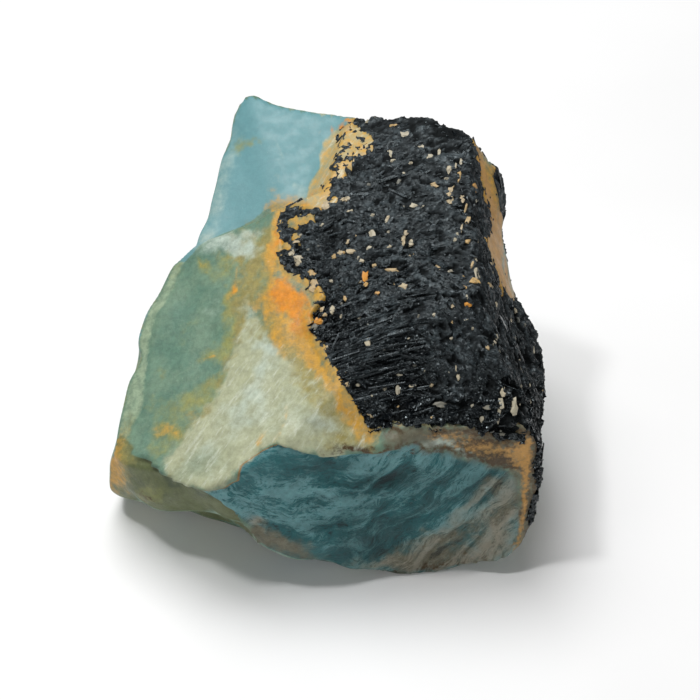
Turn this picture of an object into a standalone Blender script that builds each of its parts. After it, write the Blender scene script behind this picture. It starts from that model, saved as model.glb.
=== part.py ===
"""Aquamarine with black tourmaline: a rough hand specimen with no made parts.

The stone is a broken piece of beryl. A crust of black tourmaline has grown on its upper
right side and wraps round its right flank and the top of its back. Every surface is given
as its distance from one point inside the stone, the heart, so a direction from the heart
and a radius are enough to place any point. Lengths are in millimetres until the meshes
are made, and angles are in degrees: azimuth 0 is +X, azimuth 90 is +Y, and elevation 90
is straight up. The front of the stone faces -Y.
"""
import itertools

import bmesh
import bpy
import numpy as np

MM = 0.001

# Driving dimensions
HEART = np.array((1.31, -2.38, 17.0))
GAP = 0.3
CORNER_SHARPNESS = 80
SEED = 5

# Broken faces of the beryl: azimuth and elevation of the outward normal, distance
FACES = {
    "pale left": (-146, 58, 11.6),
    "hump top": (-137, 75, 13.6),
    "hump front": (-92, 42, 16.8),
    "hump right": (-3, 27, 21.1),
    "front": (-86, 3, 20.0),
    "front right": (-84, 2, 20.0),
    "left": (170, 5, 23.2),
    "left back": (163, 7, 22.7),
    "back": (61, 9, 22.4),
    "back left": (112, -14, 24.2),
    "top back": (88, 26, 28.4),
    "right": (-3, -5, 23.5),
    "right back": (18, 3, 22.0),
    "low left": (-123, -17, 25.4),
    "under left": (-114, -45, 23.0),
    "under right": (-2, -58, 21.5),
    "under back": (95, -56, 20.5),
    "base": (0, -90, 17.0),
}
# The clear blue terrace behind the step, and the two walls that rise from it
TERRACE = {"terrace": (-130, 61, 7.2), "terrace left": (171, 7, 18.7)}
WALLS = {"long wall": (112, 31, 16.6), "short wall": (178, 37, 10.9)}
STEP_SHARPNESS = 40

# Rounded swells and hollows: azimuth, elevation, half width, height
SWELLS = {
    "shoulder": (38, 31, 8, 1.6),
    "waist": (14, 16, 10, -1.6),
    "peak": (113, 30, 8, 2.0),
    "crown": (58, 45, 13, 1.6),
    "heel": (-37, -30, 9, -1.0),
    "left waist": (163, 13, 8, -0.8),
    "step end": (146, 21, 6, 0.7),
    "bottom notch": (-128, -22, 8, -1.0),
    "under lip": (92, 38, 8, -0.6),
    "toe": (-100, -30, 14, 1.6),
    "left toe": (-143, -18, 9, 1.6),
    "back hollow": (80, -8, 12, -1.2),
    "back knob": (110, -2, 9, 1.0),
    "stripe hollow": (27, 22, 5, -0.9),
    "top dip": (82, 41, 7, -0.6),
    "peak tip": (112, 30, 2.6, 1.0),
    "peak flank": (119, 25.5, 3.2, -1.6),
    "left notch": (156, 15, 5, -0.7),
    "left dip": (-175, 0, 4, -0.7),
    "left rib": (-155, -9, 4, -0.6),
    "left heel": (-157, -26, 5, 0.8),
    "under left dip": (-135, -28, 7, -1.3),
    "ridge dip": (-119, -21, 4, -0.9),
    "foot dip": (-96, -32, 6, -1.0),
    "right foot": (-46, -28, 6, 1.6),
    "right dip": (-30, -1, 6, -0.6),
}

# Edge of the tourmaline crust, as directions from the heart, clockwise from the top
CRUST_CENTRE = (5, 35)
CRUST_EDGE = (
    (84, 38), (88, 44), (96, 52), (104, 59), (122, 47), (134, 50), (158, 55), (176, 61),
    (-160, 69), (-128, 71), (-124, 63), (-125, 56), (-116, 50), (-105, 42), (-96, 36),
    (-90, 28), (-84, 19), (-79, 13), (-68, 13), (-61, 12), (-50, 10), (-44, 5), (-41, 0),
    (-41, -12), (-39, -21), (-26, -27), (-8, -24), (8, -20), (26, -15), (40, -14),
    (52, -6), (60, 4), (70, 12), (76, 26),
)
CRUST_DEPTH = 2.6
CRUST_RISE = 1.1
CRUST_SINK = 2.0

# Relief
SWIRL_CENTRE = np.array((4.5, -22.5, 27.0))
SWIRL_SPACING = 3.4
SWIRL_HEIGHT = 0.32
LUMP_SIZE = 3.1
LUMP_HEIGHT = 1.7
BLADE_PLACE = (-72, 38)
BLADE_SPREAD = 17
BLADE_SPACING = 2.1
BLADE_LENGTH = 9.0
BLADE_HEIGHT = 0.55

# Triangles kept of each worked surface
ROUND_STEPS = 6
BERYL_SHARE = 0.19
CRUST_SHARE = 0.27


def direction(azimuth, elevation):
    """Unit vector at an azimuth and an elevation in degrees."""
    turn = np.radians(azimuth)
    rise = np.radians(elevation)
    return np.array((np.cos(rise) * np.cos(turn), np.cos(rise) * np.sin(turn), np.sin(rise)))


def lattice_value(cell, seed):
    """A fixed pseudo-random number from 0 to 1 for each whole-number cell."""
    mixed = cell[:, 0] * 374761393 + cell[:, 1] * 668265263 + cell[:, 2] * 1440662683
    mixed = (mixed + seed * 974634777) & 0xFFFFFFFF
    mixed = ((mixed ^ (mixed >> 13)) * 1274126177) & 0xFFFFFFFF
    return ((mixed ^ (mixed >> 16)) & 0xFFFFFF) / 0xFFFFFF


def cloud(points, size, seed):
    """Smooth noise from -1 to 1 whose blobs are about one size across."""
    place = points / size
    cell = np.floor(place).astype(np.int64)
    part = place - cell
    part = part * part * (3 - 2 * part)
    total = np.zeros(len(points))
    for corner in itertools.product((0, 1), repeat=3):
        weight = np.prod(np.where(corner, part, 1 - part), axis=1)
        total += weight * lattice_value(cell + corner, seed)
    return 2 * total - 1


def lumps(points, size, seed):
    """Rounded grains, 0 at their joints and up to 1 on top, one for each cell of a lattice."""
    place = points / size
    cell = np.floor(place).astype(np.int64)
    best = np.full(len(points), 9.0)
    for corner in itertools.product((-1, 0, 1), repeat=3):
        near = cell + corner
        grain = near + np.stack([lattice_value(near, seed + k) for k in range(3)], axis=1)
        best = np.minimum(best, np.sum((grain - place) ** 2, axis=1))
    return 1 - np.minimum(best, 1)


def reach(rays, face):
    """Distance from the heart to a flat face along each ray."""
    azimuth, elevation, distance = face
    slope = rays @ direction(azimuth, elevation)
    return np.minimum(distance / np.maximum(slope, 1e-3), 200)


def nearest(distances, sharpness):
    """Smallest of several distances, with its corners a little rounded."""
    return sum(value ** -float(sharpness) for value in distances) ** (-1 / sharpness)


def farthest(distances, sharpness):
    """Largest of several distances, with its corners a little rounded."""
    return sum(value ** float(sharpness) for value in distances) ** (1 / sharpness)


def bump(rays, azimuth, elevation, spread):
    """A round hill of height 1 about one direction."""
    closeness = rays @ direction(azimuth, elevation)
    return np.exp((closeness - 1) / (1 - np.cos(np.radians(spread))))


def stone_radius(rays):
    """Radius of the broken block: its faces, the step, the swells."""
    block = nearest([reach(rays, face) for face in FACES.values()], CORNER_SHARPNESS)
    floor = nearest([reach(rays, face) for face in TERRACE.values()], STEP_SHARPNESS)
    walls = [reach(rays, face) for face in WALLS.values()]
    radius = nearest([block, farthest([floor] + walls, STEP_SHARPNESS)], CORNER_SHARPNESS)
    for azimuth, elevation, spread, height in SWELLS.values():
        radius = radius + height * bump(rays, azimuth, elevation, spread)
    return radius


def chart(rays):
    """Flat map about the crust's centre: angle from it, in degrees, kept in every bearing."""
    centre = direction(*CRUST_CENTRE)
    east = np.cross((0, 0, 1), centre)
    east = east / np.linalg.norm(east)
    north = np.cross(centre, east)
    angle = np.degrees(np.arccos(np.clip(rays @ centre, -1, 1)))
    across = rays @ east
    up = rays @ north
    length = np.maximum(np.hypot(across, up), 1e-9)
    return np.stack((across / length * angle, up / length * angle), axis=1)


def crust_inside(rays, radius):
    """Millimetres along the surface from the crust's edge, positive inside the crust."""
    spots = chart(rays)
    corners = chart(np.array([direction(*corner) for corner in CRUST_EDGE]))
    gap = np.full(len(rays), 1e9)
    inside = np.zeros(len(rays), bool)
    for start, end in zip(corners, np.roll(corners, -1, axis=0)):
        run = end - start
        along = np.clip((spots - start) @ run / (run @ run), 0, 1)
        gap = np.minimum(gap, np.linalg.norm(spots - start - along[:, None] * run, axis=1))
        straddles = (spots[:, 1] < start[1]) != (spots[:, 1] < end[1])
        rise = np.where(run[1] == 0, 1, run[1])
        crossing = start[0] + (spots[:, 1] - start[1]) / rise * run[0]
        inside ^= straddles & (spots[:, 0] < crossing)
    return np.where(inside, gap, -gap) * np.radians(1) * radius


def ramp(values, low, high):
    """0 below low, 1 above high, smooth between."""
    part = np.clip((values - low) / (high - low), 0, 1)
    return part * part * (3 - 2 * part)


def beryl_relief(rays, points):
    """Waves of the broken beryl: curved ripples on its front, gentle unevenness elsewhere."""
    uneven = 0.35 * cloud(points, 6.5, SEED) + 0.18 * cloud(points, 2.8, SEED + 1)
    swirl = np.linalg.norm((points - SWIRL_CENTRE)[:, (0, 2)], axis=1)
    swirl = swirl + 1.3 * cloud(points, 5.0, SEED + 2)
    ripple = SWIRL_HEIGHT * np.cos(2 * np.pi * swirl / SWIRL_SPACING)
    front = ramp(rays @ direction(-86, -8), 0.72, 0.86)
    base = ramp(-rays[:, 2], 0.80, 0.90)
    return (uneven + front * ripple) * (1 - base)


def crust_relief(rays, points):
    """Coarse grains of the crust, and its ridged blades in one patch."""
    grains = LUMP_HEIGHT * (lumps(points, LUMP_SIZE, SEED + 3) - 0.6)
    blades = bump(rays, *BLADE_PLACE, BLADE_SPREAD)
    stretched = points * (1 / BLADE_LENGTH, 1 / BLADE_SPACING, 1 / BLADE_SPACING)
    ridges = BLADE_HEIGHT * cloud(stretched, 1.0, SEED + 7)
    return grains * (1 - 0.8 * blades) + ridges * blades


def beryl_radius(rays):
    """Radius of the beryl: the broken block, let down under the crust."""
    radius = stone_radius(rays)
    inside = crust_inside(rays, radius)
    points = HEART + rays * radius[:, None]
    hidden = ramp(inside, 0.0, CRUST_RISE)
    return radius + beryl_relief(rays, points) * (1 - hidden) - CRUST_DEPTH * hidden


def crust_radius(rays):
    """Radius of the crust's outer skin, which dives into the beryl at the crust's edge."""
    radius = stone_radius(rays)
    inside = crust_inside(rays, radius)
    points = HEART + rays * radius[:, None]
    shown = ramp(inside, -CRUST_RISE, CRUST_RISE)
    return radius + crust_relief(rays, points) * shown - (CRUST_DEPTH + CRUST_SINK) * (1 - shown)


def star_object(name, radius_of, share, collection):
    """Closed mesh whose every point lies at radius_of its direction, thinned to a share."""
    mesh = bpy.data.meshes.new(name)
    shape = bmesh.new()
    bmesh.ops.create_icosphere(shape, subdivisions=ROUND_STEPS, radius=1.0)
    rays = np.array([vertex.co for vertex in shape.verts], float)
    rays = rays / np.linalg.norm(rays, axis=1, keepdims=True)
    points = (HEART + rays * radius_of(rays)[:, None]) * MM
    for vertex, point in zip(shape.verts, points):
        vertex.co = point
    shape.to_mesh(mesh)
    shape.free()
    thing = bpy.data.objects.new(name, mesh)
    collection.objects.link(thing)
    thin = thing.modifiers.new("Thin", "DECIMATE")
    thin.ratio = share
    return thing


def settle(thing):
    """Replace an object's mesh by what its modifiers make of it."""
    bpy.context.view_layer.update()
    seen = thing.evaluated_get(bpy.context.evaluated_depsgraph_get())
    mesh = bpy.data.meshes.new_from_object(seen)
    thing.modifiers.clear()
    old = thing.data
    thing.data = mesh
    bpy.data.meshes.remove(old)
    mesh.name = thing.name


def cut_flat(thing, height):
    """Cut everything below a height away and close the cut with one flat face."""
    shape = bmesh.new()
    shape.from_mesh(thing.data)
    cut = bmesh.ops.bisect_plane(
        shape,
        geom=shape.verts[:] + shape.edges[:] + shape.faces[:],
        dist=1e-7,
        plane_co=(0, 0, height * MM),
        plane_no=(0, 0, 1),
        clear_inner=True,
    )
    rim = [part for part in cut["geom_cut"] if isinstance(part, bmesh.types.BMEdge)]
    bmesh.ops.holes_fill(shape, edges=rim, sides=0)
    bmesh.ops.translate(shape, verts=shape.verts[:], vec=(0, 0, -height * MM))
    bmesh.ops.triangulate(shape, faces=shape.faces[:])
    bmesh.ops.recalc_face_normals(shape, faces=shape.faces[:])
    shape.to_mesh(thing.data)
    shape.free()


def grown_copy(thing, name, gap, collection):
    """Copy of an object with every point moved a gap further from the heart."""
    copy = bpy.data.objects.new(name, thing.data.copy())
    collection.objects.link(copy)
    for vertex in copy.data.vertices:
        arm = np.array(vertex.co) - HEART * MM
        length = np.linalg.norm(arm)
        vertex.co = HEART * MM + arm * (1 + gap * MM / length)
    copy.hide_render = True
    copy.display_type = "WIRE"
    return copy


def stone_material(name, colour, roughness):
    """Plain Principled material of one mineral."""
    material = bpy.data.materials.new(name)
    material.use_nodes = True
    shader = material.node_tree.nodes["Principled BSDF"]
    shader.inputs["Base Color"].default_value = (*colour, 1)
    shader.inputs["Roughness"].default_value = roughness
    shader.inputs["Metallic"].default_value = 0.0
    return material


# Empty scene
for old in list(bpy.data.objects):
    bpy.data.objects.remove(old, do_unlink=True)
specimen = bpy.data.collections.new("aquamarine_with_black_tourmaline")
cutters = bpy.data.collections.new("cutters")
bpy.context.scene.collection.children.link(specimen)
bpy.context.scene.collection.children.link(cutters)

# Aquamarine
BASE_CUT = 0.25
aquamarine = star_object("aquamarine", beryl_radius, BERYL_SHARE, specimen)
settle(aquamarine)
cut_flat(aquamarine, BASE_CUT)
aquamarine.data.materials.clear()
aquamarine.data.materials.append(stone_material("beryl", (0.42, 0.58, 0.56), 0.35))

# Black tourmaline
tourmaline = star_object("black_tourmaline", crust_radius, CRUST_SHARE, specimen)
settle(tourmaline)
tourmaline.location.z = -BASE_CUT * MM
bed = grown_copy(aquamarine, "crust_bed", GAP, cutters)
trim = tourmaline.modifiers.new("Bed", "BOOLEAN")
trim.operation = "DIFFERENCE"
trim.solver = "EXACT"
trim.object = bed
tourmaline.data.materials.clear()
tourmaline.data.materials.append(stone_material("schorl", (0.015, 0.016, 0.019), 0.3))
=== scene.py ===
"""Looks of the aquamarine with black tourmaline, a rough hand specimen.

Lengths are in millimetres until a mesh is made, and angles are in degrees. The front of the
stone faces -Y, +X is its right, and it rests on Z = 0. Stains, edges and single grains are
given where they stand in the photograph, in pixels of its 700 by 700 frame.
"""

import itertools
import math

import bpy
import numpy as np
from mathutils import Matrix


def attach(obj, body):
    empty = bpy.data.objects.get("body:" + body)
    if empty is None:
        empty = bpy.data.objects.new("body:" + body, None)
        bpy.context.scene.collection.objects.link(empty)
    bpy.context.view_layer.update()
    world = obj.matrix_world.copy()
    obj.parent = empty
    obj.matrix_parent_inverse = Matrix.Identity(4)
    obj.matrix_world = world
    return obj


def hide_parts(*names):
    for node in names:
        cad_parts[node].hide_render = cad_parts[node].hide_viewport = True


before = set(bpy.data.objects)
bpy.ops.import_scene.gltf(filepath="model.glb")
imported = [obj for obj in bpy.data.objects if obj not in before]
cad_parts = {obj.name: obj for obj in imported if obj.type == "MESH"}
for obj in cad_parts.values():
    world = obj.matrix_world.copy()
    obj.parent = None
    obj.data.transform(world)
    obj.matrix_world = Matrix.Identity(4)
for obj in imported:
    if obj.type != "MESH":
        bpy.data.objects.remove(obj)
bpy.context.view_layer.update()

# Viewpoint
# The stone is seen from in front and well above it, through a long lens. The camera is made
# here because the places of all marks are read along its lines of sight.
MM = 0.001
PICTURE_SIDE = 700
CAMERA_TILT = 42
CAMERA_DISTANCE = 300.0
CAMERA_TARGET = np.array((2.31, -1.38, 15.75))
PIXELS_PER_MM = 8.6
SENSOR_WIDTH = 36.0
CLIP_NEAR = 10
CLIP_FAR = 10000
TILT = math.radians(CAMERA_TILT)
LOOK = np.array((0.0, math.cos(TILT), -math.sin(TILT)))
RIGHT = np.array((1.0, 0.0, 0.0))
UP = np.cross(RIGHT, LOOK)
EYE = CAMERA_TARGET - CAMERA_DISTANCE * LOOK


def unit(vectors):
    """Each vector divided by its length."""
    return vectors / np.linalg.norm(vectors, axis=-1, keepdims=True)


def seen_at(points):
    """Picture place of each point: its sideways and upward share of its depth, times the scale."""
    arms = points - EYE
    scale = PIXELS_PER_MM * CAMERA_DISTANCE / (arms @ LOOK)
    across = PICTURE_SIDE / 2 + scale * (arms @ RIGHT)
    down = PICTURE_SIDE / 2 - scale * (arms @ UP)
    return np.stack((across, down), axis=1)


def sight_lines(spots):
    """Unit vector from the camera through each picture place."""
    offsets = (np.asarray(spots, float) - PICTURE_SIDE / 2) / (PIXELS_PER_MM * CAMERA_DISTANCE)
    return unit(LOOK + offsets[:, :1] * RIGHT - offsets[:, 1:2] * UP)


camera = bpy.data.objects.new("camera", bpy.data.cameras.new("camera"))
camera.data.sensor_width = SENSOR_WIDTH
camera.data.lens = PIXELS_PER_MM * CAMERA_DISTANCE * SENSOR_WIDTH / PICTURE_SIDE
camera.data.clip_start = CLIP_NEAR * MM
camera.data.clip_end = CLIP_FAR * MM
camera.location = EYE * MM
camera.rotation_euler = (math.pi / 2 - TILT, 0, 0)
bpy.context.scene.collection.objects.link(camera)
bpy.context.scene.camera = camera

# Aquamarine
# A broken piece of cloudy blue-green beryl with a clear blue terrace behind a step. It is one
# natural solid, stained by iron along its cracks and edges, and it rests on a small flat spot.
HEART = np.array((1.31, -2.38, 17.0))
BASE_CUT = 0.25
CORNER_SHARPNESS = 80
SEED = 5
FACES = (
    (-146, 58, 11.6), (-137, 75, 13.6), (-92, 42, 16.8), (-3, 27, 21.1), (-86, 3, 20.0),
    (-84, 2, 20.0), (170, 5, 23.2), (163, 7, 22.7), (61, 9, 22.4), (112, -14, 24.2), (88, 26, 28.4),
    (-3, -5, 23.5), (18, 3, 22.0), (-123, -17, 25.4), (-114, -45, 23.0), (-2, -58, 21.5),
    (95, -56, 20.5), (0, -90, 17.0),
)
TERRACE = ((-130, 61, 7.2), (171, 7, 18.7))
WALLS = ((112, 31, 16.6), (178, 37, 10.9))
STEP_SHARPNESS = 40
SWELLS = (
    (38, 31, 8, 1.6), (14, 16, 10, -1.6), (113, 30, 8, 2.0), (58, 45, 13, 1.6), (-37, -30, 9, -1.0),
    (163, 13, 8, -0.8), (146, 21, 6, 0.7), (-128, -22, 8, -1.0), (92, 38, 8, -0.6),
    (-100, -30, 14, 1.6), (-143, -18, 9, 1.6), (80, -8, 12, -1.2), (110, -2, 9, 1.0),
    (27, 22, 5, -0.9), (82, 41, 7, -0.6), (112, 30, 2.6, 1.0), (119, 25.5, 3.2, -1.6),
    (156, 15, 5, -0.7), (-175, 0, 4, -0.7), (-155, -9, 4, -0.6), (-157, -26, 5, 0.8),
    (-135, -28, 7, -1.3), (-119, -21, 4, -0.9), (-96, -32, 6, -1.0), (-46, -28, 6, 1.6),
    (-30, -1, 6, -0.6),
)
CRUST_CENTRE = (5, 35)
CRUST_EDGE = (
    (84, 38), (88, 44), (96, 52), (104, 59), (122, 47), (134, 50), (158, 55), (176, 61), (-160, 69),
    (-128, 71), (-124, 63), (-125, 56), (-116, 50), (-105, 42), (-96, 36), (-90, 28), (-84, 19),
    (-79, 13), (-68, 13), (-61, 12), (-50, 10), (-44, 5), (-41, 0), (-41, -12), (-39, -21),
    (-26, -27), (-8, -24), (8, -20), (26, -15), (40, -14), (52, -6), (60, 4), (70, 12), (76, 26),
)
CRUST_DEPTH = 2.6
SWIRL_CENTRE = np.array((4.5, -22.5, 27.0))
SWIRL_SPACING = 3.4
SWIRL_HEIGHT = 0.096
FLOW_START = 230
FLOW_SPAN = 240
FLOW_LEFT = -0.22
FLOW_RIGHT = 0.85
FIBRE_SIZES = ((1.9, 6.5, 0.45), (0.9, 3.6, 0.30), (0.45, 2.4, 0.16), (0.24, 1.6, 0.09))
CALM_SPOTS = ((270, 464, 34, 12, 10, 1.0), (335, 470, 30, 10, 0, 0.5), (300, 550, 60, 12, -14, 0.8))
# The crust's edge as the photograph shows it, and a bare stripe of beryl within the crust
CRUST_SEEN = (
    (350, 95), (350, 123), (362, 130), (371, 137), (373, 142), (368, 148), (358, 153), (350, 160),
    (338, 168), (330, 176), (329, 185), (328, 196), (322, 204), (312, 208), (302, 205), (290, 205),
    (281, 210), (279, 226), (278, 246), (281, 262), (286, 274), (299, 276), (306, 281), (318, 288),
    (322, 296), (313, 305), (307, 315), (311, 330), (322, 346), (329, 360), (336, 374), (344, 390),
    (356, 408), (364, 424), (371, 435), (381, 428), (391, 428), (403, 430), (414, 424), (426, 424),
    (434, 433), (446, 428), (461, 430), (475, 430), (481, 439), (489, 434), (501, 445), (516, 442),
    (524, 446), (527, 430), (536, 446), (532, 471), (536, 487), (530, 502), (526, 518), (530, 532),
    (580, 530), (620, 300), (560, 95),
)
STRIPE_SEEN = (
    (470, 112), (476, 140), (482, 169), (488, 199), (493, 224), (488, 240), (494, 262), (503, 282),
    (510, 298), (560, 300), (560, 236), (505, 235), (503, 225), (500, 212), (496, 194), (492, 178),
    (490, 170), (540, 164), (540, 112),
)
# Middle across, middle down and radius of lone patches of crust, and of bare windows in it
ISLANDS_SEEN = (
    (338, 138, 5), (339, 143, 4), (345, 146, 3), (353, 148, 4), (359, 147, 4), (364, 149, 4),
    (338, 159, 5), (350, 158, 5), (344, 164, 4), (353, 154, 3), (327, 178, 2), (333, 170, 3),
    (346, 134, 2), (360, 138, 3), (352, 131, 2), (325, 188, 2), (349, 141, 2),
)
WINDOWS_SEEN = (
    (300, 220, 4.5), (308, 218, 3.5), (292, 223, 3), (335, 201, 3), (286, 246, 2), (296, 237, 2.5),
    (364, 141, 3), (341, 172, 2),
)
STRIPE_REACH = 7
STRAND_HEIGHT = 0.38
LEDGE_HEIGHT = 0.40
RIM_DROP = 0.35
TOE_DROP = 0.5
GRID_SIDE = 127
GRID_PULL = 0.3
GRID_TOWARDS = (-110, 30)
HASH_FACTORS = (374761393, 668265263, 1440662683)
HASH_SEED = 974634777
HASH_MIX = 1274126177
REACH_LIMIT = 200
SLOPE_STEP = 0.012
TANGENT_HINT = (0.31, -0.22, 0.92)
SEARCH_BEFORE = 45.0
SEARCH_STEPS = 110


def direction(azimuth, elevation):
    """Unit vector at an azimuth and an elevation in degrees."""
    turn = np.radians(azimuth)
    rise = np.radians(elevation)
    return np.array((np.cos(rise) * np.cos(turn), np.cos(rise) * np.sin(turn), np.sin(rise)))


def lattice_value(cell, seed):
    """A fixed pseudo-random number from 0 to 1 for each whole-number cell."""
    mixed = sum(cell[:, axis] * factor for axis, factor in enumerate(HASH_FACTORS))
    mixed = (mixed + seed * HASH_SEED) & 0xFFFFFFFF
    mixed = ((mixed ^ (mixed >> 13)) * HASH_MIX) & 0xFFFFFFFF
    return ((mixed ^ (mixed >> 16)) & 0xFFFFFF) / 0xFFFFFF


def cloud(points, size, seed):
    """Smooth noise from -1 to 1 whose blobs are about one size across."""
    place = points / size
    cell = np.floor(place).astype(np.int64)
    part = place - cell
    part = part * part * (3 - 2 * part)
    total = np.zeros(len(points))
    for corner in itertools.product((0, 1), repeat=3):
        weight = np.prod(np.where(corner, part, 1 - part), axis=1)
        total += weight * lattice_value(cell + corner, seed)
    return 2 * total - 1


def reach(rays, face):
    """Distance from the heart to a flat face along each ray."""
    azimuth, elevation, distance = face
    slope = rays @ direction(azimuth, elevation)
    return np.minimum(distance / np.maximum(slope, 1e-3), REACH_LIMIT)


def nearest(distances, sharpness):
    """Smallest of several distances, with its corners a little rounded."""
    return sum(value ** -float(sharpness) for value in distances) ** (-1 / sharpness)


def farthest(distances, sharpness):
    """Largest of several distances, with its corners a little rounded."""
    return sum(value ** float(sharpness) for value in distances) ** (1 / sharpness)


def bump(rays, azimuth, elevation, spread):
    """A round hill of height 1 about one direction."""
    closeness = rays @ direction(azimuth, elevation)
    return np.exp((closeness - 1) / (1 - np.cos(np.radians(spread))))


def stone_radius(rays):
    """Radius of the broken block: its faces, the step, the swells."""
    block = nearest([reach(rays, face) for face in FACES], CORNER_SHARPNESS)
    floor = nearest([reach(rays, face) for face in TERRACE], STEP_SHARPNESS)
    walls = [reach(rays, face) for face in WALLS]
    radius = nearest([block, farthest([floor] + walls, STEP_SHARPNESS)], CORNER_SHARPNESS)
    for azimuth, elevation, spread, height in SWELLS:
        radius = radius + height * bump(rays, azimuth, elevation, spread)
    return radius


def stone_normal(rays, radius):
    """Outward normal of the block: the ray less the radius's slope along two tangents."""
    side = unit(np.cross(rays, TANGENT_HINT))
    normal = rays.copy()
    for tangent in (side, np.cross(rays, side)):
        turned = unit(rays + SLOPE_STEP * tangent)
        slope = (stone_radius(turned) / radius - 1) / SLOPE_STEP
        normal -= slope[:, None] * tangent
    return unit(normal)


def placed(rays, radius):
    """Points at a radius from the heart, let down by the ground-off base, none below the floor."""
    points = HEART + rays * radius[:, None]
    points[:, 2] = np.maximum(points[:, 2] - BASE_CUT, 0.0)
    return points


def on_stone(spots):
    """Direction from the heart of the stone's first point on each picture place's sight line,
    found by walking down the line in long steps, then in short ones."""
    lines = sight_lines(spots)
    middle = HEART - (0, 0, BASE_CUT)
    near = np.full(len(lines), CAMERA_DISTANCE - SEARCH_BEFORE)
    for step in (1.0, 0.05):
        found = np.zeros(len(lines), bool)
        for _ in range(SEARCH_STEPS):
            arms = EYE + lines * near[:, None] - middle
            length = np.linalg.norm(arms, axis=1)
            found |= length < stone_radius(arms / length[:, None])
            near = np.where(found, near, near + step)
        near = near - step
    return unit(EYE + lines * near[:, None] - middle)


def ramp(values, low, high):
    """0 below low, 1 above high, smooth between."""
    part = np.clip((values - low) / (high - low), 0, 1)
    return part * part * (3 - 2 * part)


def inside_outline(spots, corners):
    """Distance of each flat place from a closed outline, positive inside it."""
    corners = np.asarray(corners, float)
    gap = np.full(len(spots), 1e9)
    inside = np.zeros(len(spots), bool)
    for start, end in zip(corners, np.roll(corners, -1, axis=0)):
        run = end - start
        along = np.clip((spots - start) @ run / (run @ run), 0, 1)
        gap = np.minimum(gap, np.linalg.norm(spots - start - along[:, None] * run, axis=1))
        straddles = (spots[:, 1] < start[1]) != (spots[:, 1] < end[1])
        rise = np.where(run[1] == 0, 1, run[1])
        inside ^= straddles & (spots[:, 0] < start[0] + (spots[:, 1] - start[1]) / rise * run[0])
    return np.where(inside, gap, -gap)


def crust_axes():
    """Middle direction of the crust, and the ways east and north of it."""
    centre = direction(*CRUST_CENTRE)
    east = unit(np.cross((0, 0, 1), centre))
    return centre, east, np.cross(centre, east)


def chart(rays):
    """Flat map about the crust's centre: angle from it, in degrees, kept in every bearing."""
    centre, east, north = crust_axes()
    angle = np.degrees(np.arccos(np.clip(rays @ centre, -1, 1)))
    across = rays @ east
    up = rays @ north
    length = np.maximum(np.hypot(across, up), 1e-9)
    return np.stack((across / length * angle, up / length * angle), axis=1)


def crust_inside(rays, radius):
    """Millimetres along the surface from the crust's edge on the map, positive inside."""
    corners = chart(np.array([direction(*corner) for corner in CRUST_EDGE]))
    return inside_outline(chart(rays), corners) * np.radians(1) * radius


def facing(rays, radius):
    """How squarely the block's surface faces the camera, 1 when full on and below 0 behind."""
    sight = unit(EYE - placed(rays, radius))
    return np.sum(stone_normal(rays, radius) * sight, axis=1)


def inside_rounds(spots, rounds):
    """Millimetres inside the nearest of some round patches of the picture, positive inside."""
    across, down, size = np.array(rounds, float).T
    away = np.hypot(spots[:, :1] - across, spots[:, 1:] - down)
    return np.max(size - away, axis=1) / PIXELS_PER_MM


def crust_cover(rays, radius):
    """Millimetres inside the crust's edge: the photographed outline where the camera sees
    the surface squarely, the map's outline elsewhere, and the bare stripe taken out."""
    spots = seen_at(placed(rays, radius))
    outline = inside_outline(spots, CRUST_SEEN) / PIXELS_PER_MM
    outline = np.maximum(outline, inside_rounds(spots, ISLANDS_SEEN))
    outline = np.minimum(outline, -inside_rounds(spots, WINDOWS_SEEN))
    stripe = inside_outline(spots, STRIPE_SEEN) / PIXELS_PER_MM
    turned = facing(rays, radius)
    trust = ramp(turned, 0.04, 0.16)
    cover = crust_inside(rays, radius) * (1 - trust) + outline * trust
    return np.minimum(cover, STRIPE_REACH * ramp(-turned, -0.03, 0.22) - stripe)


def grid_quads(rows, columns):
    """Corner numbers of the quads of a grid of points, numbered row by row."""
    corner = np.arange(rows * columns).reshape(rows, columns)
    square = (corner[:-1, :-1], corner[1:, :-1], corner[1:, 1:], corner[:-1, 1:])
    return np.stack(square, axis=-1).reshape(-1, 4)


def sphere_rays(side, pull, towards):
    """Unit rays and quads of a cube's six square grids blown up to a sphere, whose points are
    all drawn by pull towards one direction so that they lie closer together there."""
    steps = np.tan(np.linspace(-np.pi / 4, np.pi / 4, side + 1))
    across, up = np.meshgrid(steps, steps, indexing="ij")
    flat = np.stack((across.ravel(), up.ravel(), np.ones((side + 1) ** 2)), axis=1)
    square = grid_quads(side + 1, side + 1)
    grids = []
    quads = []
    for turn, sign in itertools.product(range(3), (1, -1)):
        quads.append(square + len(grids) * len(flat))
        grids.append(np.roll(flat * (1, sign, sign), turn, axis=1))
    points = unit(np.concatenate(grids))
    places = np.round(points, 6)
    _, first, merged = np.unique(places, axis=0, return_index=True, return_inverse=True)
    rays = unit(points[first] + pull * direction(*towards))
    return rays, merged.ravel()[np.concatenate(quads)]


def mesh_piece(name, points, faces, smooth=True):
    """A mesh object at the origin, from points in millimetres and faces of one corner count."""
    mesh = bpy.data.meshes.new(name)
    corners = faces.shape[1]
    mesh.vertices.add(len(points))
    mesh.vertices.foreach_set("co", (points * MM).astype(np.float32).ravel())
    mesh.loops.add(faces.size)
    mesh.loops.foreach_set("vertex_index", faces.astype(np.int32).ravel())
    mesh.polygons.add(len(faces))
    mesh.polygons.foreach_set("loop_start", np.arange(0, faces.size, corners, dtype=np.int32))
    mesh.polygons.foreach_set("use_smooth", np.full(len(faces), smooth))
    mesh.update(calc_edges=True)
    mesh.validate()
    piece = bpy.data.objects.new(name, mesh)
    bpy.context.scene.collection.objects.link(piece)
    return piece


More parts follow.
